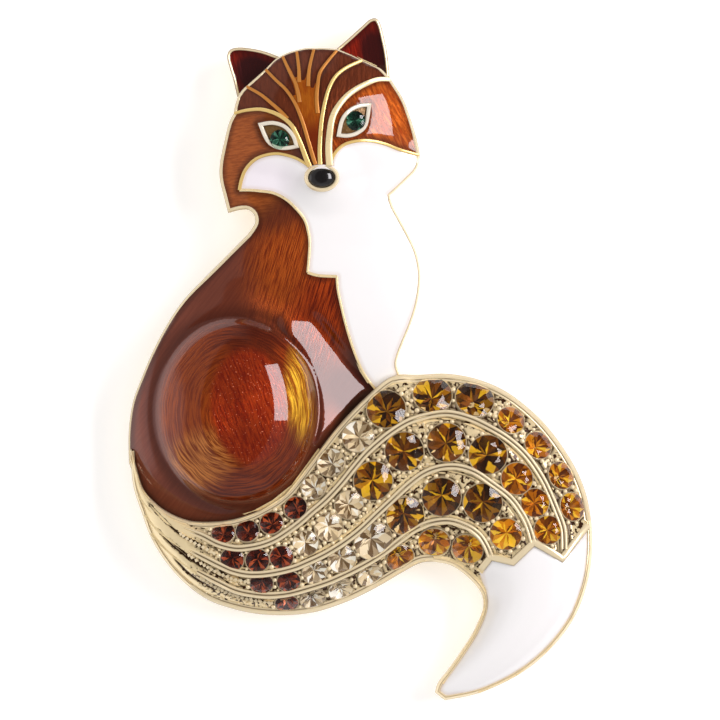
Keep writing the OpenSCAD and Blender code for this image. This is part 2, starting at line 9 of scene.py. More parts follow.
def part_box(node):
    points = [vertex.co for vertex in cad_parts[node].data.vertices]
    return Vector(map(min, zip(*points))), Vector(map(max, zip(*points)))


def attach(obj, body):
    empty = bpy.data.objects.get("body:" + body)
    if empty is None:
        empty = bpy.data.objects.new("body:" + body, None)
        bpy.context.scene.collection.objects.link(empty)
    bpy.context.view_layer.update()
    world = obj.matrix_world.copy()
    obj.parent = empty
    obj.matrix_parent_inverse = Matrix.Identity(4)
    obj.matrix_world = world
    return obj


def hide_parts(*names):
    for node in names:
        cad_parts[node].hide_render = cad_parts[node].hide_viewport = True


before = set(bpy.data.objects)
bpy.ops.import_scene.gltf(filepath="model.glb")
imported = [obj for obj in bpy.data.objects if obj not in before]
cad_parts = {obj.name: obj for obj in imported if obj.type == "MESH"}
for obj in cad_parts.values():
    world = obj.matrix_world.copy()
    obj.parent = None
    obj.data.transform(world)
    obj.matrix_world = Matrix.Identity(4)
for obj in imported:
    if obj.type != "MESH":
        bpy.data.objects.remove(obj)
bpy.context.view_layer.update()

# Camera
# It looks straight down at the brooch, which lies on its back. Its long lens shows the outline as
# it is drawn, a tenth of a millimetre to each of the picture's 720 squares.
view_height = 1.2
view_width = 0.072


def set_down(name, data):
    """A new object in the scene."""
    thing = bpy.data.objects.new(name, data)
    bpy.context.collection.objects.link(thing)
    return thing


camera_data = bpy.data.cameras.new("front view")
camera_data.sensor_width = 36
camera_data.lens = 36 * view_height / view_width
camera = set_down("front view", camera_data)
camera.location = (0, -0.0001, view_height)
bpy.context.scene.camera = camera

# Casting
# The fox is one casting of plated metal with a hollow back. Its front swells over the haunch, the
# head and the chest, and a polished rim runs round it and round each ear.
SQUARE = 0.0001
MM = 0.001
WELD = 1e-7
SHEET_MIDDLE = (360, 359)
back_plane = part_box("casting")[0][2]


def place(spot, rise):
    """A point of the squared drawing, so many millimetres above the brooch's back plane."""
    x = (spot[0] - SHEET_MIDDLE[0]) * SQUARE
    return Vector((x, (SHEET_MIDDLE[1] - spot[1]) * SQUARE, back_plane + rise * MM))


def stroke(points, step=3):
    """A smooth run through given points, with a point about every step of squares."""
    run = [Vector(point) for point in points]
    last = len(run) - 1
    smooth = []
    for i in range(last):
        a, b, c, d = run[max(i - 1, 0)], run[i], run[i + 1], run[min(i + 2, last)]
        parts = max(1, round((c - b).to_2d().length / step))
        for k in range(parts):
            t = k / parts
            bend = (2 * a - 5 * b + 4 * c - d) * t * t + (3 * b - a - 3 * c + d) * t ** 3
            smooth.append((2 * b + (c - a) * t + bend) / 2)
    return smooth + [run[last]]


def joined_strokes(*runs):
    return [spot for points in runs for spot in stroke(points)[:-1]]


cheek_left_top = [(239, 98), (236, 108), (235, 115)]
cheek_left = [(235, 115), (230, 125), (225, 145), (221, 165), (221, 180), (225, 197), (229, 213)]
nape = [(229, 213), (240, 210), (249, 210), (255, 215), (256, 224), (249, 235)]
back = [(249, 235), (227, 257), (206, 278), (186, 299), (170, 322), (155, 350), (143, 378), (134, 403),
        (130, 432), (130, 462)]
under_body = [(130, 462), (140, 489), (151, 502), (166, 514), (184, 522), (205, 524), (236, 521), (256, 515),
              (276, 504), (296, 488), (313, 465), (331, 440), (346, 421), (358, 409), (377, 391)]
under_chest = [(377, 391), (388, 384), (400, 378)]
chest = [(400, 378), (396, 366), (397, 357), (403, 341), (410, 324), (416, 305), (419, 286), (419, 270),
         (415, 252), (407, 235), (392, 207), (389, 196)]
jaw_right = [(389, 196), (405, 181), (416, 169), (419, 156)]
temple_right = [(419, 156), (416, 141), (409, 118), (402, 100), (390, 81)]
crown_8 = [(390, 81), (381, 71), (371, 66), (362, 62)]
crown_7 = [(362, 62), (350, 56), (337, 51)]
crown_6 = [(337, 51), (325, 50), (314, 50)]
crown_5 = [(314, 50), (306, 50), (297, 52)]
crown_4 = [(297, 52), (290, 54), (283, 57)]
crown_3 = [(283, 57), (275, 62), (266, 71)]
crown_2 = [(266, 71), (256, 80), (247, 88)]
crown_1 = [(247, 88), (243, 92), (239, 98)]
body_outline = joined_strokes(
    cheek_left_top, cheek_left, nape, back, under_body, under_chest, chest, jaw_right, temple_right,
    crown_8, crown_7, crown_6, crown_5, crown_4, crown_3, crown_2, crown_1)

edge_rise = 2.0
nose_middle = (322, 179)
haunch_middle = Vector((238, 412))
thigh_reach = (80, 93)


def dome(spot, middle, reach):
    return 1 - ((spot[0] - middle[0]) / reach[0]) ** 2 - ((spot[1] - middle[1]) / reach[1]) ** 2


def swell(a, b, blend=1.2):
    """The higher of two rises, with a soft valley where they meet."""
    return max(a, b) + max(blend - abs(a - b), 0) ** 2 / (4 * blend)


def thigh_distance(spot):
    """0 in the middle of the thigh, 1 at its foot."""
    aside = (spot[0] - haunch_middle[0]) / thigh_reach[0]
    return math.hypot(aside, (spot[1] - haunch_middle[1]) / thigh_reach[1])


def thigh(spot):
    """The thigh's own round form on the haunch, flatter on top, with a hollow all round it."""
    far = thigh_distance(spot)
    cap = 0.8 * max(1 - (far / 1.02) ** 3, 0) - 0.5 * math.exp(-(far / 0.5) ** 2)
    return cap - 0.3 * math.exp(-((far - 1.03) / 0.08) ** 2)


def eased(share):
    """A share held between 0 and 1 that starts and ends softly."""
    share = max(0, min(1, share))
    return share * share * (3 - 2 * share)


def flank_share(spot):
    """1 on the flat flank between the thigh, the chest and the tail, 0 elsewhere."""
    from_chest = 0.8 * (spot[0] - 330) - 0.6 * (spot[1] - 326)
    from_tail = -0.73 * (spot[0] - 377) - 0.68 * (spot[1] - 391)
    return math.prod(eased(share) for share in (
        (thigh_distance(spot) - 0.97) / 0.1, (spot[0] - 276) / 16, (3 - from_chest) / 15,
        (spot[1] - 302) / 24, (from_tail - 2) / 11, (456 - spot[1]) / 16))


def relief(spot):
    """The height of the casting's front, in millimetres over its back plane."""
    muzzle = 1.3 * max(dome(spot, nose_middle, (46, 42)), 0) ** 2
    haunch = 6.4 * dome(spot, haunch_middle, (112, 130))
    head = 4 * dome(spot, (320, 140), (135, 122))
    breast = 3.4 * dome(spot, (325, 275), (130, 150))
    brow = 1.4 * max(dome(spot, (330, 118), (88 if spot[0] > 330 else 150, 66)), 0) ** 1.25
    rounded = edge_rise + muzzle + brow + swell(swell(haunch, head), breast, 2.6) + thigh(spot)
    flank = 4.85 - 0.037 * (spot[0] - 320) + 0.006 * (spot[1] - 400)
    return rounded + (flank - rounded) * flank_share(spot)


def draped_grid(bm, columns, rows, shape, shade=None):
    """Adds a grid of cells and moves each of its corners to shape(column, row). A corner may keep
    a painted shade, from 0 to 1, darker in the hollows and creases that light reaches least."""
    painted_shade = bm.verts.layers.float.get("painted_shade") or bm.verts.layers.float.new("painted_shade")
    corners = bmesh.ops.create_grid(bm, x_segments=columns, y_segments=rows, size=0.5)["verts"]
    for corner in corners:
        i = round((corner.co.x + 0.5) * columns)
        j = round((corner.co.y + 0.5) * rows)
        corner.co = shape(i, j)
        corner[painted_shade] = shade(i, j) if shade else 0
    return corners


def swept(bm, path, tops, profile, closed, widths=None, shades=None, fades=None):
    """Sweeps a closed profile along a run of squares. A profile point is how far out it lies and how
    far above the path's own height, or above the back plane where True follows. Widths stretch it
    along the path, in a closed run only its inner part. Shades darken the profile's points, and
    fades weaken them along the path."""
    count = len(path)
    turn = 1
    if closed:
        area = sum(a.x * b.y - b.x * a.y for a, b in zip(path, path[1:] + path[:1]))
        turn = 1 if area > 0 else -1
    sides = []
    for i in range(count):
        before = path[i - 1] if closed or i > 0 else path[i]
        after = path[(i + 1) % count] if closed or i < count - 1 else path[i]
        ahead = (after - path[i]).normalized() if after != path[i] else Vector((0, 0))
        behind = (path[i] - before).normalized() if before != path[i] else Vector((0, 0))
        along = (ahead + behind).normalized()
        mitre = 1 / max(along.dot(ahead if ahead.length else behind), 0.75)
        sides.append(Vector((along.y, -along.x)) * mitre * turn)

    def shape(i, j):
        out, up, *from_back = profile[j % len(profile)]
        k = i % count
        wide = widths[k] if widths and (out < 0 or not closed) else 1
        spot = path[k] + sides[k] * out * wide * MM / SQUARE
        return place(spot, up if from_back else tops[k] + up)

    def shade(i, j):
        return shades[j % len(profile)] * (fades[i % count] if fades else 1)

    columns = count if closed else count - 1
    corners = draped_grid(bm, columns, len(profile), shape, shade if shades else None)
    bmesh.ops.remove_doubles(bm, verts=corners, dist=WELD)
    bmesh.ops.holes_fill(bm, edges=[edge for edge in bm.edges if edge.is_boundary], sides=0)
    bmesh.ops.recalc_face_normals(bm, faces=bm.faces)


def finished(name, bm, material, replaced=(), crease=35):
    """Makes a piece of a bmesh, smooth but for its creases, riding on the brooch."""
    for face in bm.faces:
        face.smooth = True
    for edge in bm.edges:
        edge.smooth = edge.calc_face_angle(0) < math.radians(crease)
    mesh = bpy.data.meshes.new(name)
    bm.to_mesh(mesh)
    bm.free()
    for each in material if isinstance(material, list) else [material]:
        mesh.materials.append(each)
    thing = set_down(name, mesh)
    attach(thing, "root")
    if replaced:
        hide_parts(*replaced)


def swept_piece(name, material, *run):
    """A plated piece of one swept run, given as swept() takes it."""
    bm = bmesh.new()
    swept(bm, *run)
    finished(name, bm, material)


def feed(tree, node, inputs):
    """Gives each named input of a node its value, or the socket that feeds it."""
    for name, value in inputs.items():
        if isinstance(value, bpy.types.NodeSocket):
            tree.links.new(value, node.inputs[name])
        else:
            node.inputs[name].default_value = value


def add(tree, kind, inputs=None, **settings):
    made = tree.nodes.new("ShaderNode" + kind)
    for name, value in settings.items():
        setattr(made, name, value)
    feed(tree, made, inputs or {})
    return made


def calc(tree, operation, *values):
    return add(tree, "Math", dict(enumerate(values)), operation=operation).outputs[0]


def times(tree, a, b):
    return calc(tree, "MULTIPLY", a, b)


def vector(tree, operation, *values):
    made = add(tree, "VectorMath", dict(enumerate(values)), operation=operation)
    return made.outputs["Value" if operation in ("LENGTH", "DOT_PRODUCT") else "Vector"]


def ramp(tree, value, start, end, low=0, high=1, soft=True):
    """Low up to the start, high from the end on. The end may be less than the start."""
    return add(tree, "MapRange", {
        "Value": value, "From Min": start, "From Max": end, "To Min": low, "To Max": high},
        interpolation_type="SMOOTHSTEP" if soft else "LINEAR").outputs["Result"]


def noise(tree, spot, scale, detail, roughness=0.5):
    return add(tree, "TexNoise", {
        "Vector": spot, "Scale": scale, "Detail": detail, "Roughness": roughness}).outputs["Fac"]


def bump(tree, height, strength, distance=0.0001):
    return add(tree, "Bump", {"Height": height, "Strength": strength, "Distance": distance}).outputs["Normal"]


def attribute(tree, name):
    return add(tree, "Attribute", attribute_name=name).outputs["Fac"]


def coordinates(tree, kind="Object"):
    return add(tree, "TexCoord").outputs[kind]


def paint(colour):
    """A colour as the eye names it, from 0 to 255, in the renderer's own light values."""
    return [((part / 255 + 0.055) / 1.055) ** 2.4 if part > 10 else part / 255 / 12.92
            for part in colour] + [1]


def mix(tree, share, low, high):
    """Mixes two colours, each a socket, three values as the eye names them, or four light values."""
    low, high = (paint(side) if isinstance(side, tuple) and len(side) == 3 else side for side in (low, high))
    return add(tree, "MixRGB", {"Fac": share, "Color1": low, "Color2": high}).outputs["Color"]


def new_material(name):
    material = bpy.data.materials.new(name)
    material.use_nodes = True
    tree = material.node_tree
    return material, tree, tree.nodes["Principled BSDF"]


def new_group(name, inputs, outputs):
    """A node group whose sockets are given as (name, kind, default), with what comes in and the
    node that gives its results."""
    tree = bpy.data.node_groups.new(name, "ShaderNodeTree")
    for title, kind, default in inputs:
        socket = tree.interface.new_socket(name=title, in_out="INPUT", socket_type="NodeSocket" + kind)
        if default is not None:
            socket.default_value = default
    for title, kind in outputs:
        tree.interface.new_socket(name=title, in_out="OUTPUT", socket_type="NodeSocket" + kind)
    return tree, tree.nodes.new("NodeGroupInput").outputs, tree.nodes.new("NodeGroupOutput")


# polish marks: cloudy roughness and a faint ripple, as on all plated and wiped metal
polish, given, results = new_group(
    "Polish marks",
    [("Scale", "Float", 900), ("Low", "Float", 0.15), ("High", "Float", 0.3), ("Ripple", "Float", 0.1)],
    [("Roughness", "Float"), ("Normal", "Vector")])
polish_cloud = noise(polish, coordinates(polish), given["Scale"], 3)
feed(polish, results, {
    "Roughness": ramp(polish, polish_cloud, 0.35, 0.65, given["Low"], given["High"], soft=False),
    "Normal": bump(polish, polish_cloud, given["Ripple"])})


def plated(name, colour, low, high, ripple, scale=900, metal=0.36, pitted=False):
    """Plated metal, with brown painted shade in its recesses and, where it is set with stones, in fine pits.
    """
    material, tree, shader = new_material(name)
    painted_shade = attribute(tree, "painted_shade")
    if pitted:
        # painted shade of fine pits, only where the corners already carry shade among the stones
        pits = ramp(tree, noise(tree, coordinates(tree), 2300, 2), 0.5, 0.42)
        stony = ramp(tree, painted_shade, 0.02, 0.12, soft=False)
        painted_shade = calc(tree, "MAXIMUM", painted_shade, times(tree, pits, stony))
    marks = add(tree, "Group", {"Scale": scale, "Low": low, "High": high, "Ripple": ripple}, node_tree=polish)
    # the dark brown colour is the painted shade
    feed(tree, shader, {
        "Base Color": mix(tree, painted_shade, colour, (0.045, 0.014, 0.003, 1)), "Metallic": metal,
        "Roughness": marks.outputs["Roughness"], "Normal": marks.outputs["Normal"]})
    return material


def plate_node(name, material):
    for place_of_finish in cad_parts[name].material_slots:
        place_of_finish.material = material


gold = plated("pale gold plate", (255, 231, 178), 0.2, 0.34, 0.15, metal=0.28)
cream_gold = plated("polished cream gold", (255, 236, 195), 0.13, 0.25, 0.1, metal=0.3)
amber_gold = plated("amber gold", (214, 140, 62), 0.28, 0.4, 0.15)
line_gold = plated("line gold", (250, 214, 134), 0.14, 0.26, 0.12)
plate_node("casting", gold)

rim_profile = [
    (-0.2, -0.02, True), (0.0, -0.02, True), (0.05, 0.06, True), (0.06, -0.2), (0.05, -0.02), (0.01, 0.1),
    (-0.06, 0.19), (-0.16, 0.22), (-0.26, 0.19), (-0.33, 0.1), (-0.36, 0.0), (-0.38, -0.5), (-0.3, -0.6)]
# painted shade at the rim's inner foot beside the enamel, and a painted dark reflection on its outer slope
rim_shades = [0, 0, 0, 0.2, 0.6, 0.4, 0, 0, 0, 0.15, 0.5, 0.9, 1]


def crown_share(spot):
    """1 along the top of the head between the ears, where the rim is no more than an edge."""
    return max(0, min(1, (78 - spot.y) / 14)) if 255 < spot.x < 380 else 0


def beside_white(spot):
    """1 along the chest and the right jaw, where the rim is a fine pale edge, 0 elsewhere."""
    return 1 if spot.x > 385 and 160 < spot.y < 378 else 0


swept_piece(
    "body_rim", cream_gold, body_outline, [relief(spot) - 0.1 * crown_share(spot) for spot in body_outline],
    rim_profile, True, [1 - 0.6 * crown_share(spot) - 0.5 * beside_white(spot) for spot in body_outline],
    rim_shades, [1 - 0.9 * beside_white(spot) for spot in body_outline])

ear_rise = 2.2
ear_outlines = {
    "left": joined_strokes(
        [(238, 97), (234, 80), (230, 67), (228, 57), (231, 51), (239, 49), (251, 50), (265, 53), (281, 59)],
        [(281, 59), (275, 68), (262, 82), (250, 92), (238, 97)]),
    "right": joined_strokes(
        [(335, 52), (350, 39), (362, 28), (370, 21), (376, 20), (380, 26), (384, 42), (387, 58), (389, 80)],
        [(389, 80), (370, 78), (350, 66), (335, 52)])}
for side, outline in ear_outlines.items():
    swept_piece("ear_rim_" + side, cream_gold, outline, [ear_rise + 0.12] * len(outline), rim_profile, True,
                [0.7] * len(outline), rim_shades)

# Pin
# The pin at the back is steel: a bar, a hinge barrel, the stem and its catch, drawn in one piece.
plate_node("pin_back", plated("brushed steel", (196, 198, 202), 0.22, 0.4, 0.2, 2500, metal=1))

# Tail
# The tail is part of the casting: a full, rounded form between a polished border on either side,
# with wells for the stones and long grooves in the bare metal where it starts under the haunch.
tail_border = 4.6
tail_rise = 2.6
# each section of the tail: its outer end, its inner end, the border's share and the rise's share
tail_sections = [
    (134, 458, 132, 449, 0.5, 0.05), (142, 487, 135, 484, 0.62, 0.1), (154, 502, 143, 510, 0.74, 0.2),
    (169, 513, 155, 541, 0.84, 0.36), (190, 521, 176, 571, 0.92, 0.6), (214, 522, 204, 595, 0.96, 0.8),
    (236, 519, 234, 607, 1, 0.92), (261, 510, 270, 613, 1, 1), (287, 493, 310, 611, 1, 1),
    (311, 463, 346, 600, 1, 1), (336, 430, 377, 585, 1, 1), (362, 402, 401, 571, 0.98, 1),
    (391, 378, 418, 562, 0.86, 1.05), (418, 376, 430, 560, 0.72, 1.15), (448, 375, 441, 561, 0.62, 1.25),
    (479, 381, 452, 564, 0.56, 1.25), (509, 395, 463, 571, 0.54, 1.2), (540, 421, 472, 579, 0.52, 1.15),
    (564, 452, 479, 587, 0.52, 1.1), (580, 482, 483, 595, 0.52, 1.1), (588, 512, 484, 603, 0.52, 1.1),
    (590, 545, 483, 611, 0.52, 1.1), (586, 579, 479, 621, 0.52, 1.08), (573, 615, 472, 635, 0.5, 1),
    (550, 646, 461, 652, 0.48, 0.85), (520, 671, 449, 669, 0.46, 0.6), (481, 690, 439, 682, 0.44, 0.3),
    (445, 698, 436, 691, 0.42, 0.05)]
sections = stroke(tail_sections, 2.3)


def face_up(bm):
    """Turns the faces of an open sheet upwards."""
    bmesh.ops.recalc_face_normals(bm, faces=bm.faces)
    if sum(face.normal.z for face in bm.faces) < 0:
        bmesh.ops.reverse_faces(bm, faces=bm.faces)


def thickened(bm, thick):
    """Gives an upward sheet a body straight below it, closed all round."""
    upper = bm.faces[:]
    grown = bmesh.ops.extrude_face_region(bm, geom=upper, use_keep_orig=True)["geom"]
    for vert in grown:
        if isinstance(vert, bmesh.types.BMVert):
            vert.co.z -= thick * MM
    bmesh.ops.recalc_face_normals(bm, faces=bm.faces)


def nearest_of(spots):
    """A function that tells how many squares a point is from the nearest of these spots."""
    tree = KDTree(len(spots))
    for number, spot in enumerate(spots):
        tree.insert((spot[0], spot[1], 0), number)
    tree.balance()
    return lambda spot: tree.find((spot[0], spot[1], 0))[2]


def mm_from(spot, x, y):
    return math.hypot(spot.x - x, spot.y - y) * SQUARE / MM


def tail_point(section, v):
    return Vector((section[0] + (section[2] - section[0]) * v, section[1] + (section[3] - section[1]) * v))


def tail_width(section):
    return math.hypot(section[0] - section[2], section[1] - section[3]) * SQUARE / MM


def tail_level(section, v):
    border = section[4] * tail_border * (1 - v) + edge_rise * v
    return border + section[5] * tail_rise * (1 - abs(2 * v - 1) ** 2.4)


def tail_share(spot):
    """The section of the tail through a point, and how far across it the point lies."""
    best = None
    for s, t in zip(sections, sections[1:]):
        aside = []
        for each in (s, t):
            across = Vector((each[2] - each[0], each[3] - each[1]))
            aside.append(across.cross(Vector((spot[0] - each[0], spot[1] - each[1]))) / across.length)
        if aside[0] * aside[1] <= 0:
            share = abs(aside[0]) / max(abs(aside[0]) + abs(aside[1]), 1e-9)
            section = s.lerp(t, share)
            across = Vector((section[2] - section[0], section[3] - section[1]))
            v = across.dot(Vector((spot[0] - section[0], spot[1] - section[1]))) / across.length_squared
            if best is None or abs(v - 0.5) < abs(best[1] - 0.5):
                best = (section, v)
    return best


def tail_height(spot):
    found = tail_share(spot)
    return tail_level(found[0], min(max(found[1], 0), 1)) if found else edge_rise


def lies_inside(spot, outline):
    """True for a point inside a closed run of squares."""
    inside = False
    for a, b in zip(outline, outline[1:] + outline[:1]):
        if (a[1] > spot[1]) != (b[1] > spot[1]):
            if spot[0] < a[0] + (spot[1] - a[1]) / (b[1] - a[1]) * (b[0] - a[0]):
                inside = not inside
    return inside


tip_outline = joined_strokes(
    [(588, 523), (574, 540), (561, 557)], [(561, 557), (547, 549), (533, 541)],
    [(533, 541), (522, 551), (512, 561)], [(512, 561), (501, 557), (490, 556)],
    [(490, 556), (484, 564), (479, 572)],
    [(479, 572), (483, 587), (484, 603), (479, 621), (472, 635), (461, 652), (449, 669), (438, 686)],
    [(438, 686), (440, 692), (447, 696)],
    [(447, 696), (481, 690), (520, 671), (550, 646), (573, 615), (586, 579), (590, 548), (588, 523)])

# the stones' places and their diameters in millimetres
XS, S, M, L, XL = 2.35, 2.55, 2.85, 3.2, 3.9
garnets = [
    (224, 532, XS), (248, 530, XS), (272, 522, XS), (296, 507, XS), (233, 558, XS), (258, 559, XS),
    (282, 556, XS), (262, 582, XS), (289, 580, XS), (287, 602, XS)]
champagnes = [
    (314, 486, S), (331, 462, M), (358, 436, L), (306, 542, S), (329, 526, M), (349, 504, M), (315, 571, S),
    (342, 558, M), (373, 540, XL), (313, 598, S), (341, 589, S), (370, 575, S)]
topazes = [
    (386, 409, XL), (432, 395, XL), (474, 399, XL), (510, 420, M), (537, 445, M), (560, 475, M),
    (571, 506, M), (373, 480, XL), (404, 451, XL), (446, 442, XL), (487, 454, XL), (516, 478, L),
    (534, 502, M), (547, 529, M), (405, 515, XL), (441, 496, XL), (482, 502, XL), (505, 533, L),
    (400, 557, M), (434, 541, L), (467, 548, L)]
settings = garnets + champagnes + topazes

from_groove = nearest_of([spot for points in (
    [(150, 503), (163, 517), (178, 531), (190, 538), (203, 544)],
    [(170, 538), (186, 552), (206, 566), (222, 574)],
    [(160, 530), (172, 543), (188, 556), (204, 566)],
    [(176, 558), (186, 569), (197, 578), (214, 588)]) for spot in stroke(points, 0.5)])
rib_lines = [
    [(185, 528), (203, 535), (219, 543), (236, 547), (251, 546), (264, 543), (278, 537), (297, 524),
     (312, 511), (326, 499), (341, 483), (354, 467), (366, 453), (378, 442), (392, 431), (409, 421),
     (429, 415), (448, 413), (469, 418), (490, 428), (509, 440), (526, 456), (540, 476), (549, 494),
     (556, 511), (562, 528), (563, 548)],
    [(190, 549), (206, 557), (220, 564), (234, 570), (250, 573), (270, 572), (293, 567), (308, 561),
     (325, 553), (343, 542), (360, 529), (377, 513), (392, 499), (407, 485), (423, 473), (439, 467),
     (456, 466), (473, 471), (491, 483), (508, 496), (519, 510), (527, 525), (532, 541)],
    [(198, 570), (217, 580), (236, 589), (255, 593), (272, 594), (290, 592), (312, 586), (330, 580),
     (350, 571), (369, 561), (386, 550), (400, 539), (414, 529), (430, 522), (449, 520), (467, 526),
     (479, 535), (486, 546), (490, 556)]]
from_rib = nearest_of([spot for line in rib_lines for spot in stroke(line, 1)])


def bare_share(spot):
    """1 in the smooth gold where the tail starts, 0 where the rows of stones have begun."""
    return max(0, min(1, (222 - spot.x) / 34)) if spot.x < 300 else 0


def groove_share(spot):
    return math.exp(-(from_groove(spot) / 1.1) ** 2)


def rib_foot(spot):
    """1 in the narrow channel along either foot of a rib."""
    away = from_rib(spot) * SQUARE / MM
    return math.exp(-((away - 0.56) / 0.14) ** 2) * (1 - bare_share(spot))


def well_share(spot):
    """How near a point is to the ring where a stone's edge meets its well."""
    return max(math.exp(-((mm_from(spot, x, y) - size / 2 - 0.14) / 0.14) ** 2) for x, y, size in settings)


def skin_level(spot, section, v):
    """The tail's bare surface: its round form, the wells under the stones, and the grooves."""
    level = tail_level(section, v) + 0.06 + 0.4 * bare_share(spot) * eased(12 * min(v, 1 - v))
    level -= 0.25 * groove_share(spot) + 0.16 * rib_foot(spot)
    for x, y, size in settings:
        away = mm_from(spot, x, y)
        if away < size / 2:
            level -= 0.2 + 1.35 * (size / 2 - away)
    if spot.y > 515 and lies_inside(spot, tip_outline):
        level -= 0.4
    return level


# painted shade: dark in the grooves, along the feet of the ribs and round the wells, faint between the stones
def skin_shade(spot):
    stony = 0.12 * (1 - bare_share(spot))
    return min(1, stony + 1.3 * groove_share(spot) + 0.95 * rib_foot(spot) + 0.9 * well_share(spot))


skin_rows = 84
skin_thick = 0.3
skin = bmesh.new()
skin_spots = [[(tail_point(s, v), s, v) for v in (0.01 + 0.98 * j / skin_rows for j in range(skin_rows + 1))]
              for s in sections]
draped_grid(skin, len(sections) - 1, skin_rows,
            lambda i, j: place(skin_spots[i][j][0], skin_level(*skin_spots[i][j])),
            lambda i, j: skin_shade(skin_spots[i][j][0]))
face_up(skin)
thickened(skin, skin_thick)
# the pits of this gold are painted shade in the metal between the stones
pitted_gold = plated("pitted gold plate", (255, 233, 184), 0.12, 0.26, 0.6, metal=0.3, pitted=True)
finished("tail_skin", skin, pitted_gold, crease=50)

border_profile = [
    (-0.3, -0.02, True), (0.06, -0.02, True), (0.12, 0.06, True), (0.13, -0.4), (0.11, -0.12), (0.04, 0.08),
    (-0.1, 0.2), (-0.24, 0.29), (-0.34, 0.29), (-0.42, 0.22), (-0.5, 0.28), (-0.62, 0.3), (-0.72, 0.24),
    (-0.8, 0.08), (-0.84, -0.3), (-0.6, -0.6)]
# painted shade in the border's groove and at its inner foot, and a painted dark reflection on its outer slope
border_shades = [0, 0, 0, 0.2, 0.6, 0.3, 0, 0, 0.15, 0.85, 0.15, 0, 0.3, 0.9, 1, 1]


def border_inset(section):
    return min(0.4 / tail_width(section), 0.5)


def is_thin_border(spot):
    """True round the white tip and the bare start, where the border is a fine plain line."""
    return spot.y > 560 and spot.x > 430 or spot.y > 520 and spot.x > 560 or spot.x < 190


def border_share(spot, section):
    """The border's width: full along the stones, a little less beside the haunch."""
    full = 0.74 if spot.x < 392 and spot.y < 530 else 0.9
    return min(0.42 if is_thin_border(spot) else full, 0.1 + tail_width(section) / 3)


edge_spots = [tail_point(s, 0) for s in sections] + [tail_point(s, 1) for s in sections[::-1]]
edge_tops = [tail_level(s, border_inset(s)) for s in sections]
edge_tops += [tail_level(s, 1 - border_inset(s)) for s in sections[::-1]]
edge_widths = [border_share(spot, s) for spot, s in zip(edge_spots, sections + sections[::-1])]
swept_piece("tail_border", cream_gold, edge_spots, edge_tops, border_profile, True, edge_widths,
            border_shades, [0.45 if is_thin_border(spot) else 1 for spot in edge_spots])

# Ribs
# Three ribs part the rows of stones, each a pair of fine lines, and a broader zigzag band closes
# the tail's white tip. They are cast with the tail.
rib_profile = [
    (0.38, -0.5), (0.38, 0.05), (0.34, 0.34), (0.27, 0.46), (0.18, 0.48), (0.09, 0.42), (0, 0.33),
    (-0.09, 0.42), (-0.18, 0.48), (-0.27, 0.46), (-0.34, 0.32), (-0.38, 0.05), (-0.38, -0.5)]
# painted shade at a rib's feet and in the groove between its two lines
rib_shades = [1, 0.9, 0.35, 0, 0, 0.3, 1, 0.3, 0, 0, 0.35, 0.9, 1]
ribs = bmesh.new()
for line in rib_lines:
    run = stroke(line)
    swept(ribs, run, [tail_height(spot) + 0.02 for spot in run], rib_profile, False,
          [min(1, 0.55 + k / 12) for k in range(len(run))], rib_shades)
finished("tail_ribs", ribs, cream_gold, crease=60)


def ridge(side, top):
    """The profile of a ridge that is the same on both sides."""
    return side + [(0, top)] + [(-out, up) for out, up in side[::-1]]


zigzag_corners = [(587, 524), (561, 557), (533, 541), (512, 561), (490, 556), (479, 570)]
zigzag = joined_strokes(*zip(zigzag_corners, zigzag_corners[1:]))
# the band carries painted shade at its feet
swept_piece("tip_band", cream_gold, zigzag, [tail_height(spot) for spot in zigzag],
            ridge([(0.38, -0.5), (0.37, 0.12), (0.32, 0.36), (0.2, 0.45)], 0.48), False, None,
            [1, 0.9, 0.3, 0, 0, 0, 0.3, 0.9, 1])

# Lines between the enamels
# Raised metal lines keep the enamels apart: two broad ones over the eyes that run to the nose, the
# muzzle's two, finer ones down the throat and flank, and seven low ones over the forehead.
brow_left = [(235, 115), (246, 112), (261, 111), (273, 114), (283, 119), (292, 127), (298, 138), (303, 150),
             (307, 161), (310, 168)]
brow_right = [(390, 81), (378, 81), (365, 86), (353, 93), (344, 101), (336, 112), (332, 122), (330, 135),
              (329, 150), (330, 167)]
muzzle_left = [(310, 168), (301, 162), (292, 158), (278, 155), (264, 157), (254, 162), (246, 171),
               (242, 181), (240, 191)]
throat = [(240, 191), (250, 191), (261, 192), (274, 194), (286, 200), (295, 208), (304, 219), (308, 230),
          (310, 245), (308, 273)]
step = [(308, 273), (318, 276), (337, 277)]
flank = [(337, 277), (338, 290), (342, 309), (347, 329), (354, 351), (362, 370), (369, 381), (377, 391)]
muzzle_right = [(330, 167), (335, 155), (343, 147), (354, 143), (368, 142), (384, 145), (400, 151),
                (419, 156)]
forehead_lines = [
    [(247, 88), (261, 96), (272, 105), (281, 113), (288, 120.5)],
    [(266, 71), (276.5, 82), (286, 91), (294, 102.5), (300, 115.5), (305, 130), (309.5, 145.5), (313.5, 159),
     (316, 166)],
    [(283, 58), (290, 73.5), (295.5, 84), (298.6, 95), (300, 104)],
    [(297, 53), (299.2, 70.5), (299.6, 84)],
    [(314, 51), (310.4, 66), (309, 76.5), (308.7, 88)],
    [(337, 52), (326, 65.5), (320, 75), (318.2, 86), (317, 99.5), (318, 115)],
    [(362, 62), (347, 69), (336, 78), (329.3, 90.3), (325, 105.5), (322, 122.5), (320.6, 138), (320, 153),
     (320.5, 166)]]


def enamel_level(spot):
    return relief(spot) + 0.1


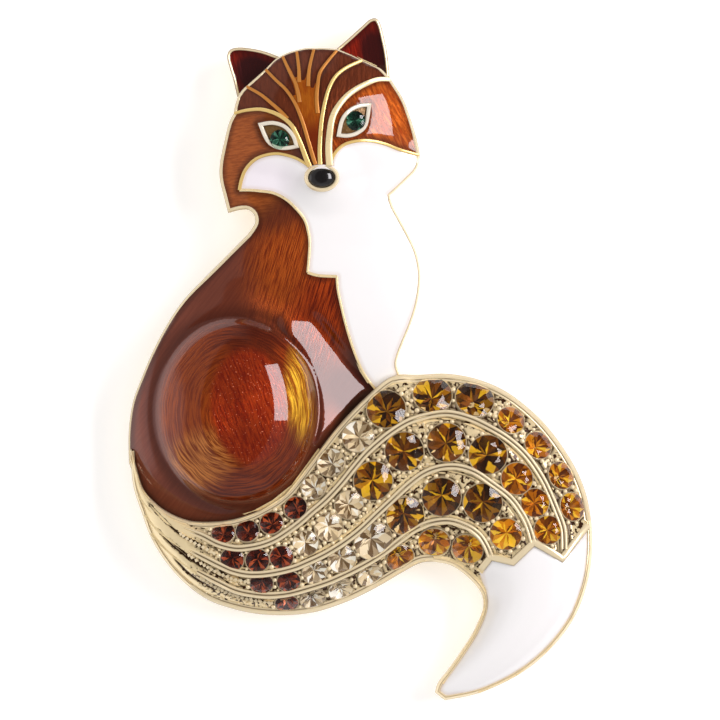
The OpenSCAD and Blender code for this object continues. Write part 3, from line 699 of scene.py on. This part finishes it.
def raised_lines(name, material, lines):
    """One piece of several lines, each given as its points, its width at the start and at the end,
    and its lift over the enamel."""
    whole = bmesh.new()
    for points, start, end, lift in lines:
        run = stroke(points)
        widths = [start + (end - start) * k / len(run) for k in range(len(run))]
        profile = ridge([(0.5, -0.5), (0.5, -0.08), (0.46, lift * 0.45), (0.33, lift * 0.85)], lift)
        # painted shade at each line's feet
        swept(whole, run, [enamel_level(spot) for spot in run], profile, False, widths,
              [1, 0.9, 0.2, 0, 0, 0, 0.2, 0.9, 1])
    finished(name, whole, material)


raised_lines("brow_line_right", gold, [(brow_right, 0.46, 0.8, 0.18)])
raised_lines("brow_line_left", line_gold, [(brow_left, 0.32, 0.56, 0.14)])
raised_lines("muzzle_lines", line_gold, [(muzzle_left, 0.3, 0.36, 0.12), (muzzle_right, 0.34, 0.3, 0.12)])
raised_lines("body_lines", gold, [
    (throat, 0.3, 0.26, 0.07), (step, 0.3, 0.3, 0.07), (flank, 0.26, 0.26, 0.07)])
raised_lines("forehead_lines", amber_gold, [(line, 0.3, 0.42, 0.08) for line in forehead_lines[:6]])
raised_lines("forehead_line_right", line_gold, [(forehead_lines[6], 0.34, 0.46, 0.1)])

# Eyes
# Each eye is a pointed oval cast on the face, with a polished rim round a sunk gold bed that holds
# a small round green stone.
eye_outlines = {
    "left": joined_strokes([(259, 125), (273, 123), (286, 127), (295, 137), (299, 149)],
                           [(299, 149), (288, 151), (277, 150), (267, 143), (259, 125)]),
    "right": joined_strokes([(371, 105), (360, 106), (349, 111), (341, 121), (337, 138)],
                            [(337, 138), (347, 139), (358, 136), (367, 127), (371, 105)])}
eye_middles = {"left": (280.5, 141), "right": (355.5, 122.5)}
eye_rim_profile = [
    (0.06, -0.5), (0.06, 0.16), (0.02, 0.3), (-0.08, 0.38), (-0.22, 0.38), (-0.33, 0.3), (-0.38, 0.1),
    (-0.38, -0.5)]
bed_thick = 0.2
most_passes = 9


def filled_sheet(loops, cell, level):
    """A sheet between closed runs, the first round the rest, cut flat into even triangles about one
    cell wide and then raised to level(spot)."""
    bm = bmesh.new()
    for outline in loops:
        corners = [bm.verts.new((spot[0], spot[1], 0)) for spot in outline]
        for a, b in zip(corners, corners[1:] + corners[:1]):
            bm.edges.new((a, b))
    bmesh.ops.triangle_fill(bm, use_beauty=True, edges=bm.edges[:])
    for _ in range(most_passes):
        long = [edge for edge in bm.edges if not edge.is_boundary and edge.calc_length() > cell * 1.5]
        if long:
            bmesh.ops.subdivide_edges(bm, edges=long, cuts=1)
            bmesh.ops.triangulate(bm, faces=[face for face in bm.faces if len(face.verts) > 3])
        bmesh.ops.beautify_fill(
            bm, faces=bm.faces, edges=[edge for edge in bm.edges if not edge.is_boundary])
        inner = [vert for vert in bm.verts if not vert.is_boundary]
        for _ in range(2):
            bmesh.ops.smooth_vert(bm, verts=inner, factor=0.5, use_axis_x=True, use_axis_y=True)
        if not long:
            break
    for vert in bm.verts:
        vert.co = place(vert.co, level(vert.co))
    face_up(bm)
    return bm


def oval(middle, half_width, half_height):
    count = max(12, round((half_width + half_height) * math.pi / 3))
    turns = [2 * math.pi * k / count for k in range(count)]
    return [Vector((middle[0] + half_width * math.cos(a), middle[1] + half_height * math.sin(a)))
            for a in turns]


# the eye beds are a darker copy of the gold plate as painted shade, and the eye rims a lighter copy as a
# painted highlight
shaded_gold = plated("shaded gold", (126, 92, 50), 0.16, 0.34, 0.6, 2500)
lit_rim_gold = plated("gold plate painted lighter", (255, 246, 226), 0.14, 0.26, 0.1, metal=0.25)
for side, outline in eye_outlines.items():
    # painted shade at each eye rim's outer foot and beside the bed
    swept_piece("eye_rim_" + side, lit_rim_gold, outline, [relief(spot) for spot in outline], eye_rim_profile,
                True, None, [1, 0.6, 0, 0, 0, 0, 0.9, 1])
    bed = filled_sheet([outline, oval(eye_middles[side], 9.2, 9.2)], 4, lambda spot: relief(spot) - 0.08)
    thickened(bed, bed_thick)
    finished("eye_bed_" + side, bed, shaded_gold)

# Enamels
# Glassy enamels fill the pockets of the casting up to just under its lines. The brown, amber and
# wine ones are clear, over metal cut with fine strokes like fur, and the white one is solid.
enamel_thick = 0.42


def enamel(name, nodes, material, loops, level=enamel_level, cell=3.6, roll=0.05, reach=0.3):
    """Fills a field with enamel that rolls down a little at its borders. Each point keeps its
    distance from the border, in millimetres, for the painted shade along the border."""
    nearest = nearest_of([spot for outline in loops for spot in outline])

    def from_border(spot):
        return nearest(spot) * SQUARE / MM

    bm = filled_sheet(loops, cell, lambda spot: level(spot) - roll * math.exp(-from_border(spot) / reach))
    depth = bm.verts.layers.float.new("from_border")
    for vert in bm.verts:
        vert[depth] = from_border(
            (vert.co.x / SQUARE + SHEET_MIDDLE[0], SHEET_MIDDLE[1] - vert.co.y / SQUARE))
    thickened(bm, enamel_thick)
    finished(name, bm, material, nodes, crease=60)


# the drawing's own coordinates, in squares, as a shader sees them
drawing, given, results = new_group("Drawing squares", [], [("Vector", "Vector")])
drawing_map = add(drawing, "Mapping", {
    "Vector": coordinates(drawing), "Location": (*SHEET_MIDDLE, 0), "Scale": (1e4, -1e4, 1e4)})
feed(drawing, results, {"Vector": drawing_map.outputs["Vector"]})

# a soft oval patch: 1 inside, 0 outside, turned by an angle
soft_oval, given, results = new_group(
    "Soft oval",
    [("Vector", "Vector", None), ("Middle", "Vector", None), ("Turn", "Vector", None),
     ("Reach", "Vector", None), ("Edge", "Float", 0.5)], [("Mask", "Float")])
oval_shift = vector(soft_oval, "SUBTRACT", given["Vector"], given["Middle"])
oval_turn = add(soft_oval, "VectorRotate", {"Vector": oval_shift, "Rotation": given["Turn"]},
                rotation_type="EULER_XYZ")
oval_flat = vector(soft_oval, "MULTIPLY", oval_turn.outputs[0], (1, 1, 0))
oval_far = vector(soft_oval, "LENGTH", vector(soft_oval, "DIVIDE", oval_flat, given["Reach"]))
oval_start = calc(soft_oval, "ADD", 1, given["Edge"])
oval_end = calc(soft_oval, "SUBTRACT", 1, given["Edge"])
feed(soft_oval, results, {"Mask": ramp(soft_oval, oval_far, oval_start, oval_end)})

# fine cut strokes: noise drawn out along the first axis of the vector that comes in
fur, given, results = new_group(
    "Fur strokes",
    [("Vector", "Vector", None), ("Along", "Float", 0.03), ("Across", "Float", 0.35),
     ("Contrast", "Float", 0.16)], [("Mask", "Float")])
fur_scale = add(fur, "CombineXYZ", {"X": given["Along"], "Y": given["Across"], "Z": given["Along"]})
fur_noise = noise(fur, vector(fur, "MULTIPLY", given["Vector"], fur_scale.outputs[0]), 1, 2.5, 0.6)
feed(fur, results, {"Mask": ramp(
    fur, fur_noise, calc(fur, "SUBTRACT", 0.5, given["Contrast"]), calc(fur, "ADD", 0.5, given["Contrast"]))})


def squares(tree):
    return add(tree, "Group", node_tree=drawing).outputs["Vector"]


def patch(tree, spot, middle, reach, edge=0.5, turn=0, strength=1):
    made = add(tree, "Group", {"Vector": spot, "Middle": (*middle, 0), "Reach": (*reach, 1), "Edge": edge,
                               "Turn": (0, 0, math.radians(turn))}, node_tree=soft_oval)
    return times(tree, made.outputs["Mask"], strength)


def cut_strokes(tree, spot, along, across, contrast):
    return add(tree, "Group", {"Vector": spot, "Along": along, "Across": across, "Contrast": contrast},
               node_tree=fur).outputs["Mask"]


def strokes_at(tree, spot, angle, along=0.03, across=0.35, contrast=0.16):
    """Strokes that run at an angle over the drawing, counted clockwise from the right."""
    turned = add(tree, "VectorRotate", {"Vector": spot, "Rotation": (0, 0, -math.radians(angle))},
                 rotation_type="EULER_XYZ")
    return cut_strokes(tree, turned.outputs[0], along, across, contrast)


def border_band(tree, near, far, strength):
    """Painted shade along the field's border: strongest at the border, 0 further in."""
    return times(tree, ramp(tree, attribute(tree, "from_border"), far, near), strength)


def layered(tree, colour, layers):
    """Lays colours over one another, each through its own mask."""
    for mask, tone in layers:
        colour = mix(tree, mask, colour, tone)
    return colour


def glassy(tree, shader, colour, height, depth=0.5, metal=0.6):
    """Clear enamel over cut metal: a bright, stroked ground under a hard, polished coat."""
    feed(tree, shader, {
        "Base Color": colour, "Metallic": metal, "Roughness": 0.42, "Specular IOR Level": 0,
        "Normal": bump(tree, height, depth, 0.00012), "Coat Weight": 1, "Coat Roughness": 0.03,
        "Coat IOR": 1.55})


def clear_enamel(name, cut, dark, light, patches=(), band=None, depth=0.5, metal=0.6):
    """Clear enamel over one field of strokes, cut as strokes_at() takes them. Patches and the band of
    painted shade along the border are given as patch() and border_band() take them, each with its colour."""
    material, tree, shader = new_material(name)
    spot = squares(tree)
    strokes = strokes_at(tree, spot, *cut)
    layers = [(patch(tree, spot, *where), tone) for *where, tone in patches]
    if band:
        layers.append((border_band(tree, *band[:3]), band[3]))
    glassy(tree, shader, layered(tree, mix(tree, strokes, dark, light), layers), strokes, depth, metal)
    return material


brown, tree, shader = new_material("brown enamel")
spot = squares(tree)
# round the thigh the strokes follow it
thigh_spot = vector(tree, "SUBTRACT", spot, (*haunch_middle, 0))
thigh_round = vector(tree, "MULTIPLY", thigh_spot, (1 / thigh_reach[0], 1 / thigh_reach[1], 0))
thigh_far = vector(tree, "LENGTH", thigh_round)
thigh_way = add(tree, "SeparateXYZ", {"Vector": vector(tree, "NORMALIZE", thigh_round)}).outputs
waved_far = calc(tree, "MULTIPLY_ADD", noise(tree, spot, 0.035, 1), 0.07, thigh_far)
thigh_ring = add(tree, "CombineXYZ", {
    "X": times(tree, thigh_way["X"], 45), "Y": times(tree, waved_far, 80),
    "Z": times(tree, thigh_way["Y"], 45)})
ring_strokes = cut_strokes(tree, thigh_ring.outputs[0], 0.06, 0.82, 0.15)
neck_strokes = strokes_at(tree, spot, 106, 0.045, 1, 0.16)
side_strokes = strokes_at(tree, spot, 128, 0.03, 0.5, 0.25)
cheek_strokes = strokes_at(tree, spot, 172, 0.1, 0.6, 0.2)
wild_strokes = strokes_at(tree, spot, 70, 0.08, 0.6)
# painted glints: small bright specks over the red middle of the thigh
painted_glints = ramp(tree, noise(tree, spot, 0.7, 0), 0.76, 0.8, soft=False)
red_zone = mix(tree, painted_glints, mix(tree, wild_strokes, (128, 28, 4), (168, 56, 14)), (236, 132, 96))
inner = layered(tree, mix(tree, ring_strokes, (98, 29, 5), (150, 60, 14)), [
    # painted reflection of the light walls on the left
    (patch(tree, spot, (190, 404), (36, 72)), mix(tree, ring_strokes, (126, 46, 8), (164, 72, 16))),
    # painted reflection of the light walls on the left
    (patch(tree, spot, (194, 464), (44, 26), 0.5, 30),
     mix(tree, ring_strokes, (132, 56, 18), (220, 138, 66))),
    # painted shade near the top of the thigh
    (patch(tree, spot, (258, 340), (30, 16), 0.6, 10, 0.7), (92, 30, 12)),
    # painted reflection of the window in the cut metal: the yellow arc on the thigh's right
    (patch(tree, spot, (303, 386), (15, 48), 0.45), mix(tree, ring_strokes, (150, 78, 14), (246, 190, 56))),
    (patch(tree, spot, (250, 406), (38, 57), 0.12, 4), red_zone)])
neck_share = patch(tree, spot, (294, 262), (44, 64), 0.5, -10)
chest_share = patch(tree, spot, (322, 316), (30, 52), 0.5, -20)
cheek_share = patch(tree, spot, (246, 160), (48, 62), 0.15)
thigh_share = ramp(tree, thigh_far, 1.04, 0.9)
# the hollow round the thigh, which carries painted shade
valley = times(tree, ramp(tree, thigh_far, 0.94, 1.04), ramp(tree, thigh_far, 1.22, 1.04))
colour = layered(tree, mix(tree, side_strokes, (120, 55, 36), (134, 65, 43)), [
    (neck_share, mix(tree, neck_strokes, (122, 41, 9), (190, 90, 27))),
    (chest_share, mix(tree, neck_strokes, (98, 20, 4), (184, 70, 18))),
    (cheek_share, mix(tree, cheek_strokes, (170, 84, 34), (202, 108, 48))),
    (thigh_share, inner),
    # painted shadow under the white front's lower edge
    (patch(tree, spot, (284, 213), (36, 16), 0.6, 24, 0.6), (88, 40, 28)),
    # painted shade in the hollow round the thigh
    (times(tree, valley, 0.55), (66, 24, 14)),
    # painted shade between the flank and the tail
    (patch(tree, spot, (352, 392), (40, 26), 0.5, -35, 0.8), (48, 12, 8)),
    # painted shade along the field's border
    (border_band(tree, 0.25, 0.9, 0.6), (48, 16, 8))])
glassy(tree, shader, colour, layered(tree, (0.5, 0.5, 0.5, 1), [
    (calc(tree, "MAXIMUM", neck_share, chest_share), neck_strokes), (cheek_share, cheek_strokes),
    (thigh_share, ring_strokes)]))
enamel("brown_coat_enamel", ["brown_coat"], brown, [joined_strokes(
    cheek_left, nape, back, under_body, flank[::-1], step[::-1], throat[::-1], muzzle_left[::-1],
    brow_left[::-1]), eye_outlines["left"]], cell=2)

# its dark band along the border is painted shade
right_brown = clear_enamel("brown enamel of the right cheek", (62, 0.07, 0.42), (154, 62, 14), (196, 96, 30),
                           band=(0.25, 0.8, 0.6, (66, 22, 8)))
enamel("right_cheek_enamel", ["cheek_right"], right_brown,
       [joined_strokes(brow_right, muzzle_right, temple_right), eye_outlines["right"]])

# its dark band along the border is painted shade
stripe_brown = clear_enamel("dark brown enamel", (90, 0.08, 0.4, 0.22), (108, 48, 24), (124, 58, 30),
                            band=(0.2, 0.5, 0.5, (56, 18, 8)))
stripes = [
    [cheek_left_top[::-1], crown_1[::-1], [(247, 88), (261, 96), (272, 105), (281, 113), (288, 121)],
     [(288, 121), (280, 117), (273, 114), (261, 111), (246, 112), (235, 115)]],
    [crown_2[::-1],
     [(266, 71), (276, 82), (286, 91), (294, 103), (300, 116), (305, 130), (310, 146), (315, 166)],
     [(315, 166), (310, 168)],
     [(310, 168), (307, 161), (303, 150), (298, 138), (292, 127), (288, 121)],
     [(288, 121), (281, 113), (272, 105), (261, 96), (247, 88)]],
    [crown_3[::-1], [(283, 57), (289, 73), (293, 84), (296, 93), (297, 103)],
     [(297, 103), (294, 100), (286, 91), (276, 82), (266, 71)]],
    [crown_4[::-1], [(297, 52), (298, 68), (298, 84)], [(298, 84), (295, 80), (291, 72), (283, 57)]],
    [crown_5[::-1], [(314, 50), (310, 66), (307, 78), (304, 84)],
     [(304, 84), (300, 80), (299, 68), (297, 52)]],
    [crown_6[::-1], [(337, 51), (326, 65), (320, 75), (317, 84), (313, 92)],
     [(313, 92), (309, 84), (310, 66), (314, 50)]],
    [crown_7[::-1], [(362, 62), (347, 69), (336, 78), (329, 90), (325, 104), (321, 118)],
     [(321, 118), (318, 108), (318, 96), (320, 80), (326, 66), (337, 51)]],
    [crown_8[::-1], brow_right, [(330, 167), (322, 166)],
     [(322, 166), (320, 145), (322, 122), (326, 104), (330, 90), (337, 78), (348, 69), (362, 62)]]]
for number, runs in enumerate(stripes, 1):
    enamel(f"brow_stripe_{number}_enamel", [f"brow_stripe_{number}"], stripe_brown,
           [joined_strokes(*runs)], cell=3, roll=0.06, reach=0.2)

amber = clear_enamel("amber enamel", (86, 0.06, 0.3), (182, 86, 10), (206, 112, 22),
                     [((316, 152), (16, 30), (142, 50, 8))], depth=0.2)
enamel("nose_bridge_enamel", ["nose_bridge"], amber, [joined_strokes(
    forehead_lines[1], [(316, 166), (320.5, 166)], forehead_lines[6][::-1], crown_7, crown_6, crown_5,
    crown_4, crown_3)], lambda spot: relief(spot) + 0.05, cell=3, roll=0.03, reach=0.2)

white, tree, shader = new_material("white enamel")
spot = squares(tree)
white_cloud = noise(tree, spot, 0.03, 2)
feed(tree, shader, {
    "Base Color": layered(tree, mix(tree, white_cloud, (250, 248, 248), (252, 251, 250)), [
        # painted shade: a faint lilac on the left of the muzzle
        (patch(tree, spot, (262, 180), (34, 22), 0.6), (252, 245, 251)),
        # painted shade along the border
        (border_band(tree, 0.25, 0.6, 0.35), (226, 204, 190))]),
    "Roughness": 0.25, "Normal": bump(tree, white_cloud, 0.1),
    "Coat Weight": 1, "Coat Roughness": 0.03, "Coat IOR": 1.5})
enamel("white_front_enamel", ["white_front"], white, [joined_strokes(
    muzzle_left, throat, step, flank, under_chest, chest, jaw_right, muzzle_right[::-1],
    [(330, 167), (320, 166), (310, 168)])])
enamel("tail_tip_enamel", ["tail_tip"], white, [tip_outline],
       lambda spot: tail_height(spot) + 0.18, cell=4, roll=0.14, reach=0.4)

wine = clear_enamel(
    "wine enamel", (80, 0.05, 0.3), (112, 20, 8), (140, 32, 12),
    # painted shade: a darker crescent on each ear beside the head's raised edge
    [((262, 80), (32, 20), 0.25, -40, (56, 18, 18)), ((380, 62), (16, 34), 0.25, 25, (66, 16, 14))],
    # painted shade along the border
    (0.3, 0.9, 0.6, (48, 10, 10)), 0.3, 0.4)
for side, outline in ear_outlines.items():
    enamel("ear_enamel_" + side, ["ear_" + side], wine, [outline],
           lambda spot: ear_rise - 0.1, cell=2.4, roll=-0.4, reach=0.8)

# Nose
# A black enamelled bead, wider than it is high, sits in a round cast rim.
nose_oval = oval(nose_middle, 14.5, 11.2)
swept_piece("nose_rim", cream_gold, nose_oval, [relief(nose_middle)] * len(nose_oval), [
    (0.3, -0.9), (0.3, 0.0), (0.26, 0.2), (0.15, 0.34), (0.02, 0.36), (-0.08, 0.28), (-0.1, -0.4)], True)
black, tree, shader = new_material("black enamel")
feed(tree, shader, {
    "Base Color": mix(tree, noise(tree, squares(tree), 0.1, 2), (10, 8, 8), (20, 16, 16)),
    "Roughness": 0.2, "Coat Weight": 1, "Coat Roughness": 0.02})
bead_reach = (14.2, 10.8)
bead_rise = 0.85
nose = bmesh.new()
bmesh.ops.create_uvsphere(nose, u_segments=40, v_segments=24, radius=1)
for vert in nose.verts:
    spot = (nose_middle[0] + vert.co.x * bead_reach[0], nose_middle[1] - vert.co.y * bead_reach[1])
    vert.co = place(spot, relief(nose_middle) - 0.1 + vert.co.z * bead_rise)
finished("nose_bead", nose, black, ["nose"])

# Stones
# Round cut stones of foiled glass, each with a flat table, sit in cast wells. A thin ring of metal
# holds each one at its girdle, and small pushed-up beads grip it from the gaps between the stones.


def cut_stone(bm, size, seat):
    """A round cut stone with its girdle at the seat: a clear crown over foiled faces."""
    # each ring of corners: how many, how far turned, how far out and how far up, in parts of the size
    rings = [(8, 0, 0.27, 0.127), (8, 0.5, 0.37, 0.0935), (16, 0, 0.5, 0.02), (16, 0, 0.5, -0.02),
             (8, 0, 0.33, -0.175), (8, 0.5, 0.15, -0.315)]
    corners = [bm.verts.new((0, 0, -0.42 * size * MM))]
    for count, shift, out, up in rings:
        for k in range(count):
            a = 2 * math.pi * (k + shift) / count
            corners.append(bm.verts.new(
                (out * size * MM * math.cos(a), out * size * MM * math.sin(a), up * size * MM)))
    bmesh.ops.convex_hull(bm, input=corners)
    bmesh.ops.dissolve_limit(bm, angle_limit=math.radians(2), verts=bm.verts, edges=bm.edges)
    for face in bm.faces:
        face.material_index = 1 if face.calc_center_median().z < -0.021 * size * MM else 0
    bmesh.ops.transform(bm, matrix=seat, verts=bm.verts)


def add_to(whole, one):
    """Empties one bmesh into another."""
    mesh = bpy.data.meshes.new("one of many")
    one.to_mesh(mesh)
    one.free()
    whole.from_mesh(mesh)


girdle_lift = 0.12


def seat_in_eye(x, y):
    return Matrix.Translation(place((x, y), relief((x, y)) + girdle_lift))


def seat_on_tail(x, y):
    """The place of a stone on the tail, square to the surface."""
    reach = 4
    east = tail_height((x + reach, y)) - tail_height((x - reach, y))
    north = tail_height((x, y - reach)) - tail_height((x, y + reach))
    span = 2 * reach * SQUARE / MM
    up = Vector((-east / span, -north / span, 1)).normalized()
    turn = Vector((0, 0, 1)).rotation_difference(up).to_matrix().to_4x4()
    return Matrix.Translation(place((x, y), tail_height((x, y)) + girdle_lift)) @ turn


def stone_materials(name, glass, foil_light, foil_middle, foil_dark, metal=0.4):
    """Tinted clear glass, which lets the light through to a foil painted facet by facet with reflections."""
    crown, tree, shader = new_material(name + " glass")
    tint = mix(tree, noise(tree, squares(tree), 0.12, 1), glass, mix(tree, 0.06, glass, foil_dark))
    passing = add(tree, "LightPath").outputs["Is Shadow Ray"]
    feed(tree, shader, {"Base Color": tint, "Roughness": 0.03, "Transmission Weight": 1, "IOR": 1.58,
                        "Alpha": calc(tree, "SUBTRACT", 1, passing)})
    foil, tree, shader = new_material(name + " foil")
    shade = attribute(tree, "facet_shade")
    colour = mix(tree, ramp(tree, shade, 0, 0.5, soft=False), foil_dark, foil_middle)
    colour = mix(tree, ramp(tree, shade, 0.5, 1, soft=False), colour, foil_light)
    feed(tree, shader, {"Base Color": colour, "Metallic": metal, "Roughness": 0.15})
    return [crown, foil]


chance = random.Random(7)


def set_stones(name, stones, materials, nodes, seat):
    """One piece of several stones. Each facet takes its own random tone of painted reflection on the foil."""
    whole = bmesh.new()
    whole.faces.layers.float.new("facet_shade")
    for x, y, size in stones:
        one = bmesh.new()
        cut_stone(one, size, seat(x, y) @ Matrix.Rotation(chance.uniform(0.14, 0.74), 4, "Z"))
        shades = one.faces.layers.float.new("facet_shade")
        for face in one.faces:
            face[shades] = chance.choice([0.0, 0.05, 0.2, 0.45, 0.6, 1.0])
        add_to(whole, one)
    finished(name, whole, materials, nodes, crease=1)


topaz = stone_materials("topaz", (255, 249, 222), (255, 218, 66), (208, 128, 16), (92, 44, 8))
deep_topaz = stone_materials("deep topaz", (255, 249, 224), (252, 204, 44), (134, 76, 8), (40, 18, 4))
champagne = stone_materials(
    "champagne", (255, 255, 252), (255, 255, 248), (238, 218, 178), (104, 78, 48), 0.15)
garnet = stone_materials("garnet", (255, 226, 208), (196, 98, 54), (86, 30, 18), (32, 10, 8))
green = stone_materials("green", (170, 206, 190), (120, 180, 156), (30, 88, 68), (6, 28, 22))
for number, stone in enumerate(topazes, 1):
    set_stones(f"topaz_stone_{number}", [stone], deep_topaz if stone[2] == XL else topaz,
               [f"topaz_{number}"], seat_on_tail)
set_stones("champagne_row_stones", champagnes, champagne, ["champagne_stones"],
           seat_on_tail)
set_stones("garnet_row_stones", garnets, garnet, ["garnet_stones"], seat_on_tail)
eye_stone_size = 1.96
for side, middle in eye_middles.items():
    set_stones("eye_stone_" + side, [(*middle, eye_stone_size)], green, ["eye_" + side],
               seat_in_eye)

collar_sides = 28
# painted shade over the whole collar, for a darker ring round each stone
collar_shade = 0.5


def collar(size):
    """The ring of metal that holds a stone of this size, flat round the origin."""
    edge = 0.5 * size
    profile = [(edge - 0.02, 0.04), (edge + 0.03, 0.06), (edge + 0.07, 0.02), (edge + 0.1, -0.3),
               (edge - 0.01, -0.3)]

    def ring_point(i, j):
        out, up = profile[j % len(profile)]
        a = 2 * math.pi * (i % collar_sides) / collar_sides
        return Vector((out * MM * math.cos(a), out * MM * math.sin(a), up * MM))

    one = bmesh.new()
    corners = draped_grid(one, collar_sides, len(profile), ring_point, lambda i, j: collar_shade)
    bmesh.ops.remove_doubles(one, verts=corners, dist=WELD)
    bmesh.ops.recalc_face_normals(one, faces=one.faces)
    return one


collars = bmesh.new()
for x, y, size in settings:
    one = collar(size)
    bmesh.ops.transform(one, matrix=seat_on_tail(x, y), verts=one.verts)
    add_to(collars, one)
finished("stone_collars", collars, cream_gold, crease=70)


def has_room(spot, from_stone, rib_gap, taken, apart):
    """True where a grain of metal fits between the stones, the ribs and the grains set before it."""
    return (all(mm_from(spot, x, y) > size / 2 + from_stone for x, y, size in settings)
            and from_rib(spot) * SQUARE / MM > rib_gap
            and all((spot - other).length > apart for other in taken))


beads = bmesh.new()
bead_spots = []
beads_round_stone = 12
for x, y, size in settings:
    for k in range(beads_round_stone):
        a = 2 * math.pi * (k + 0.5) / beads_round_stone
        out = (size / 2 + 0.2) * MM / SQUARE
        spot = Vector((x + out * math.cos(a), y + out * math.sin(a)))
        share = tail_share(spot)
        if has_room(spot, 0.1, 0.5, bead_spots, 4.8) and share and 0.055 < share[1] < 0.945:
            bead_spots.append(spot)
            radius = chance.uniform(0.2, 0.28)
            where = Matrix.Translation(place(spot, tail_height(spot) + 0.08))
            bmesh.ops.create_uvsphere(beads, u_segments=8, v_segments=5, radius=radius * MM, matrix=where)
grains = bmesh.new()
grain_spots = list(bead_spots)
stony_sections = [section for section in sections if 195 < (section[0] + section[2]) / 2 < 430]
grain_tries = 2600
for _ in range(grain_tries):
    spot = tail_point(chance.choice(stony_sections), chance.uniform(0.07, 0.93))
    if spot.x > 205 and has_room(spot, 0.16, 0.46, grain_spots, 3.4):
        grain_spots.append(spot)
        where = Matrix.Translation(place(spot, tail_height(spot) + 0.1))
        turned = where @ Matrix.Rotation(chance.uniform(0, 3), 4, (1, 1, 1))
        radius = chance.uniform(0.14, 0.2)
        bmesh.ops.create_icosphere(grains, subdivisions=1, radius=radius * MM, matrix=turned)
finished("setting_grains", grains, cream_gold, crease=10)
# the rows of small milled blocks in the bare gold before the stones
block_size = 0.3
for points in (
        [(182, 533), (192, 540), (204, 546), (215, 552)],
        [(190, 554), (202, 562), (216, 570), (232, 577), (249, 581)],
        [(202, 577), (216, 586), (234, 594), (252, 599), (272, 602)]):
    for spot in stroke(points, 4.2):
        where = Matrix.Translation(place(spot, tail_height(spot) + 0.4 * bare_share(spot) + 0.12))
        turned = where @ Matrix.Rotation(chance.uniform(0.3, 0.8), 4, "Z")
        bmesh.ops.create_cube(beads, size=block_size * MM, matrix=turned)
finished("setting_beads", beads, cream_gold, crease=50)

# Studio
# A white table and a plain pale room, with a tall soft window on the right.
floor_mesh = bpy.data.meshes.new("table top")
floor = bmesh.new()
bmesh.ops.create_circle(floor, cap_ends=True, segments=96, radius=1.5)
floor.to_mesh(floor_mesh)
floor.free()
table_top = set_down("table_top", floor_mesh)
table_white, tree, shader = new_material("white table")
feed(tree, shader, {
    "Base Color": mix(tree, noise(tree, coordinates(tree), 40, 3), (240, 240, 240), (244, 244, 244)),
    "Roughness": 0.6, "Emission Color": (1, 1, 1, 1), "Emission Strength": 0.34})
floor_mesh.materials.append(table_white)

# the room, as the polished coats mirror it: a pale ceiling, darker straight above and to the far
# right, and light walls on the left
dim = (0.12, 0.11, 0.11, 1)
world = bpy.data.worlds.new("pale room")
bpy.context.scene.world = world
world.use_nodes = True
room = world.node_tree
direction = coordinates(room, "Generated")
way = add(room, "SeparateXYZ", {"Vector": direction}).outputs
far_right = vector(room, "DOT_PRODUCT", direction, (0.8, 0.6, 0))
walls = calc(room, "MAXIMUM", ramp(room, way["X"], -0.84, -0.95), ramp(room, way["Y"], -0.78, -0.9, 0, 0.2))
overhead = vector(room, "MULTIPLY", vector(room, "SUBTRACT", direction, (0, 0.1, 0)), (1 / 0.6, 1 / 0.84, 0))
room_colour = layered(room, (0.34, 0.33, 0.33, 1), [
    (ramp(room, far_right, 0.55, 0.75), dim), (walls, (0.9, 0.85, 0.88, 1)),
    (ramp(room, vector(room, "LENGTH", overhead), 1.03, 0.97), dim),
    (add(room, "LightPath").outputs["Is Camera Ray"], (1, 1, 1, 1))])
feed(room, room.nodes["Background"], {"Color": room_colour, "Strength": 1})

window = bpy.data.lights.new("window", "AREA")
window.shape = "RECTANGLE"
window.size = 0.19
window.size_y = 0.46
window.energy = 2.2
window.color = (1, 0.96, 0.98)
window_stand = set_down("window", window)
window_stand.location = (0.37, 0.17, 0.35)
window_stand.rotation_euler = (0, math.atan2(window_stand.location.x, window_stand.location.z), 0)

# soft light from above that only evens out the shadows
evening = bpy.data.lights.new("soft overhead", "SUN")
evening.energy = 1.4
evening.angle = math.radians(80)
evening_stand = set_down("soft overhead", evening)
evening_stand.rotation_euler = (0, -math.radians(20), 0)
evening_stand.visible_glossy = False

bpy.context.scene.view_settings.view_transform = "Standard"
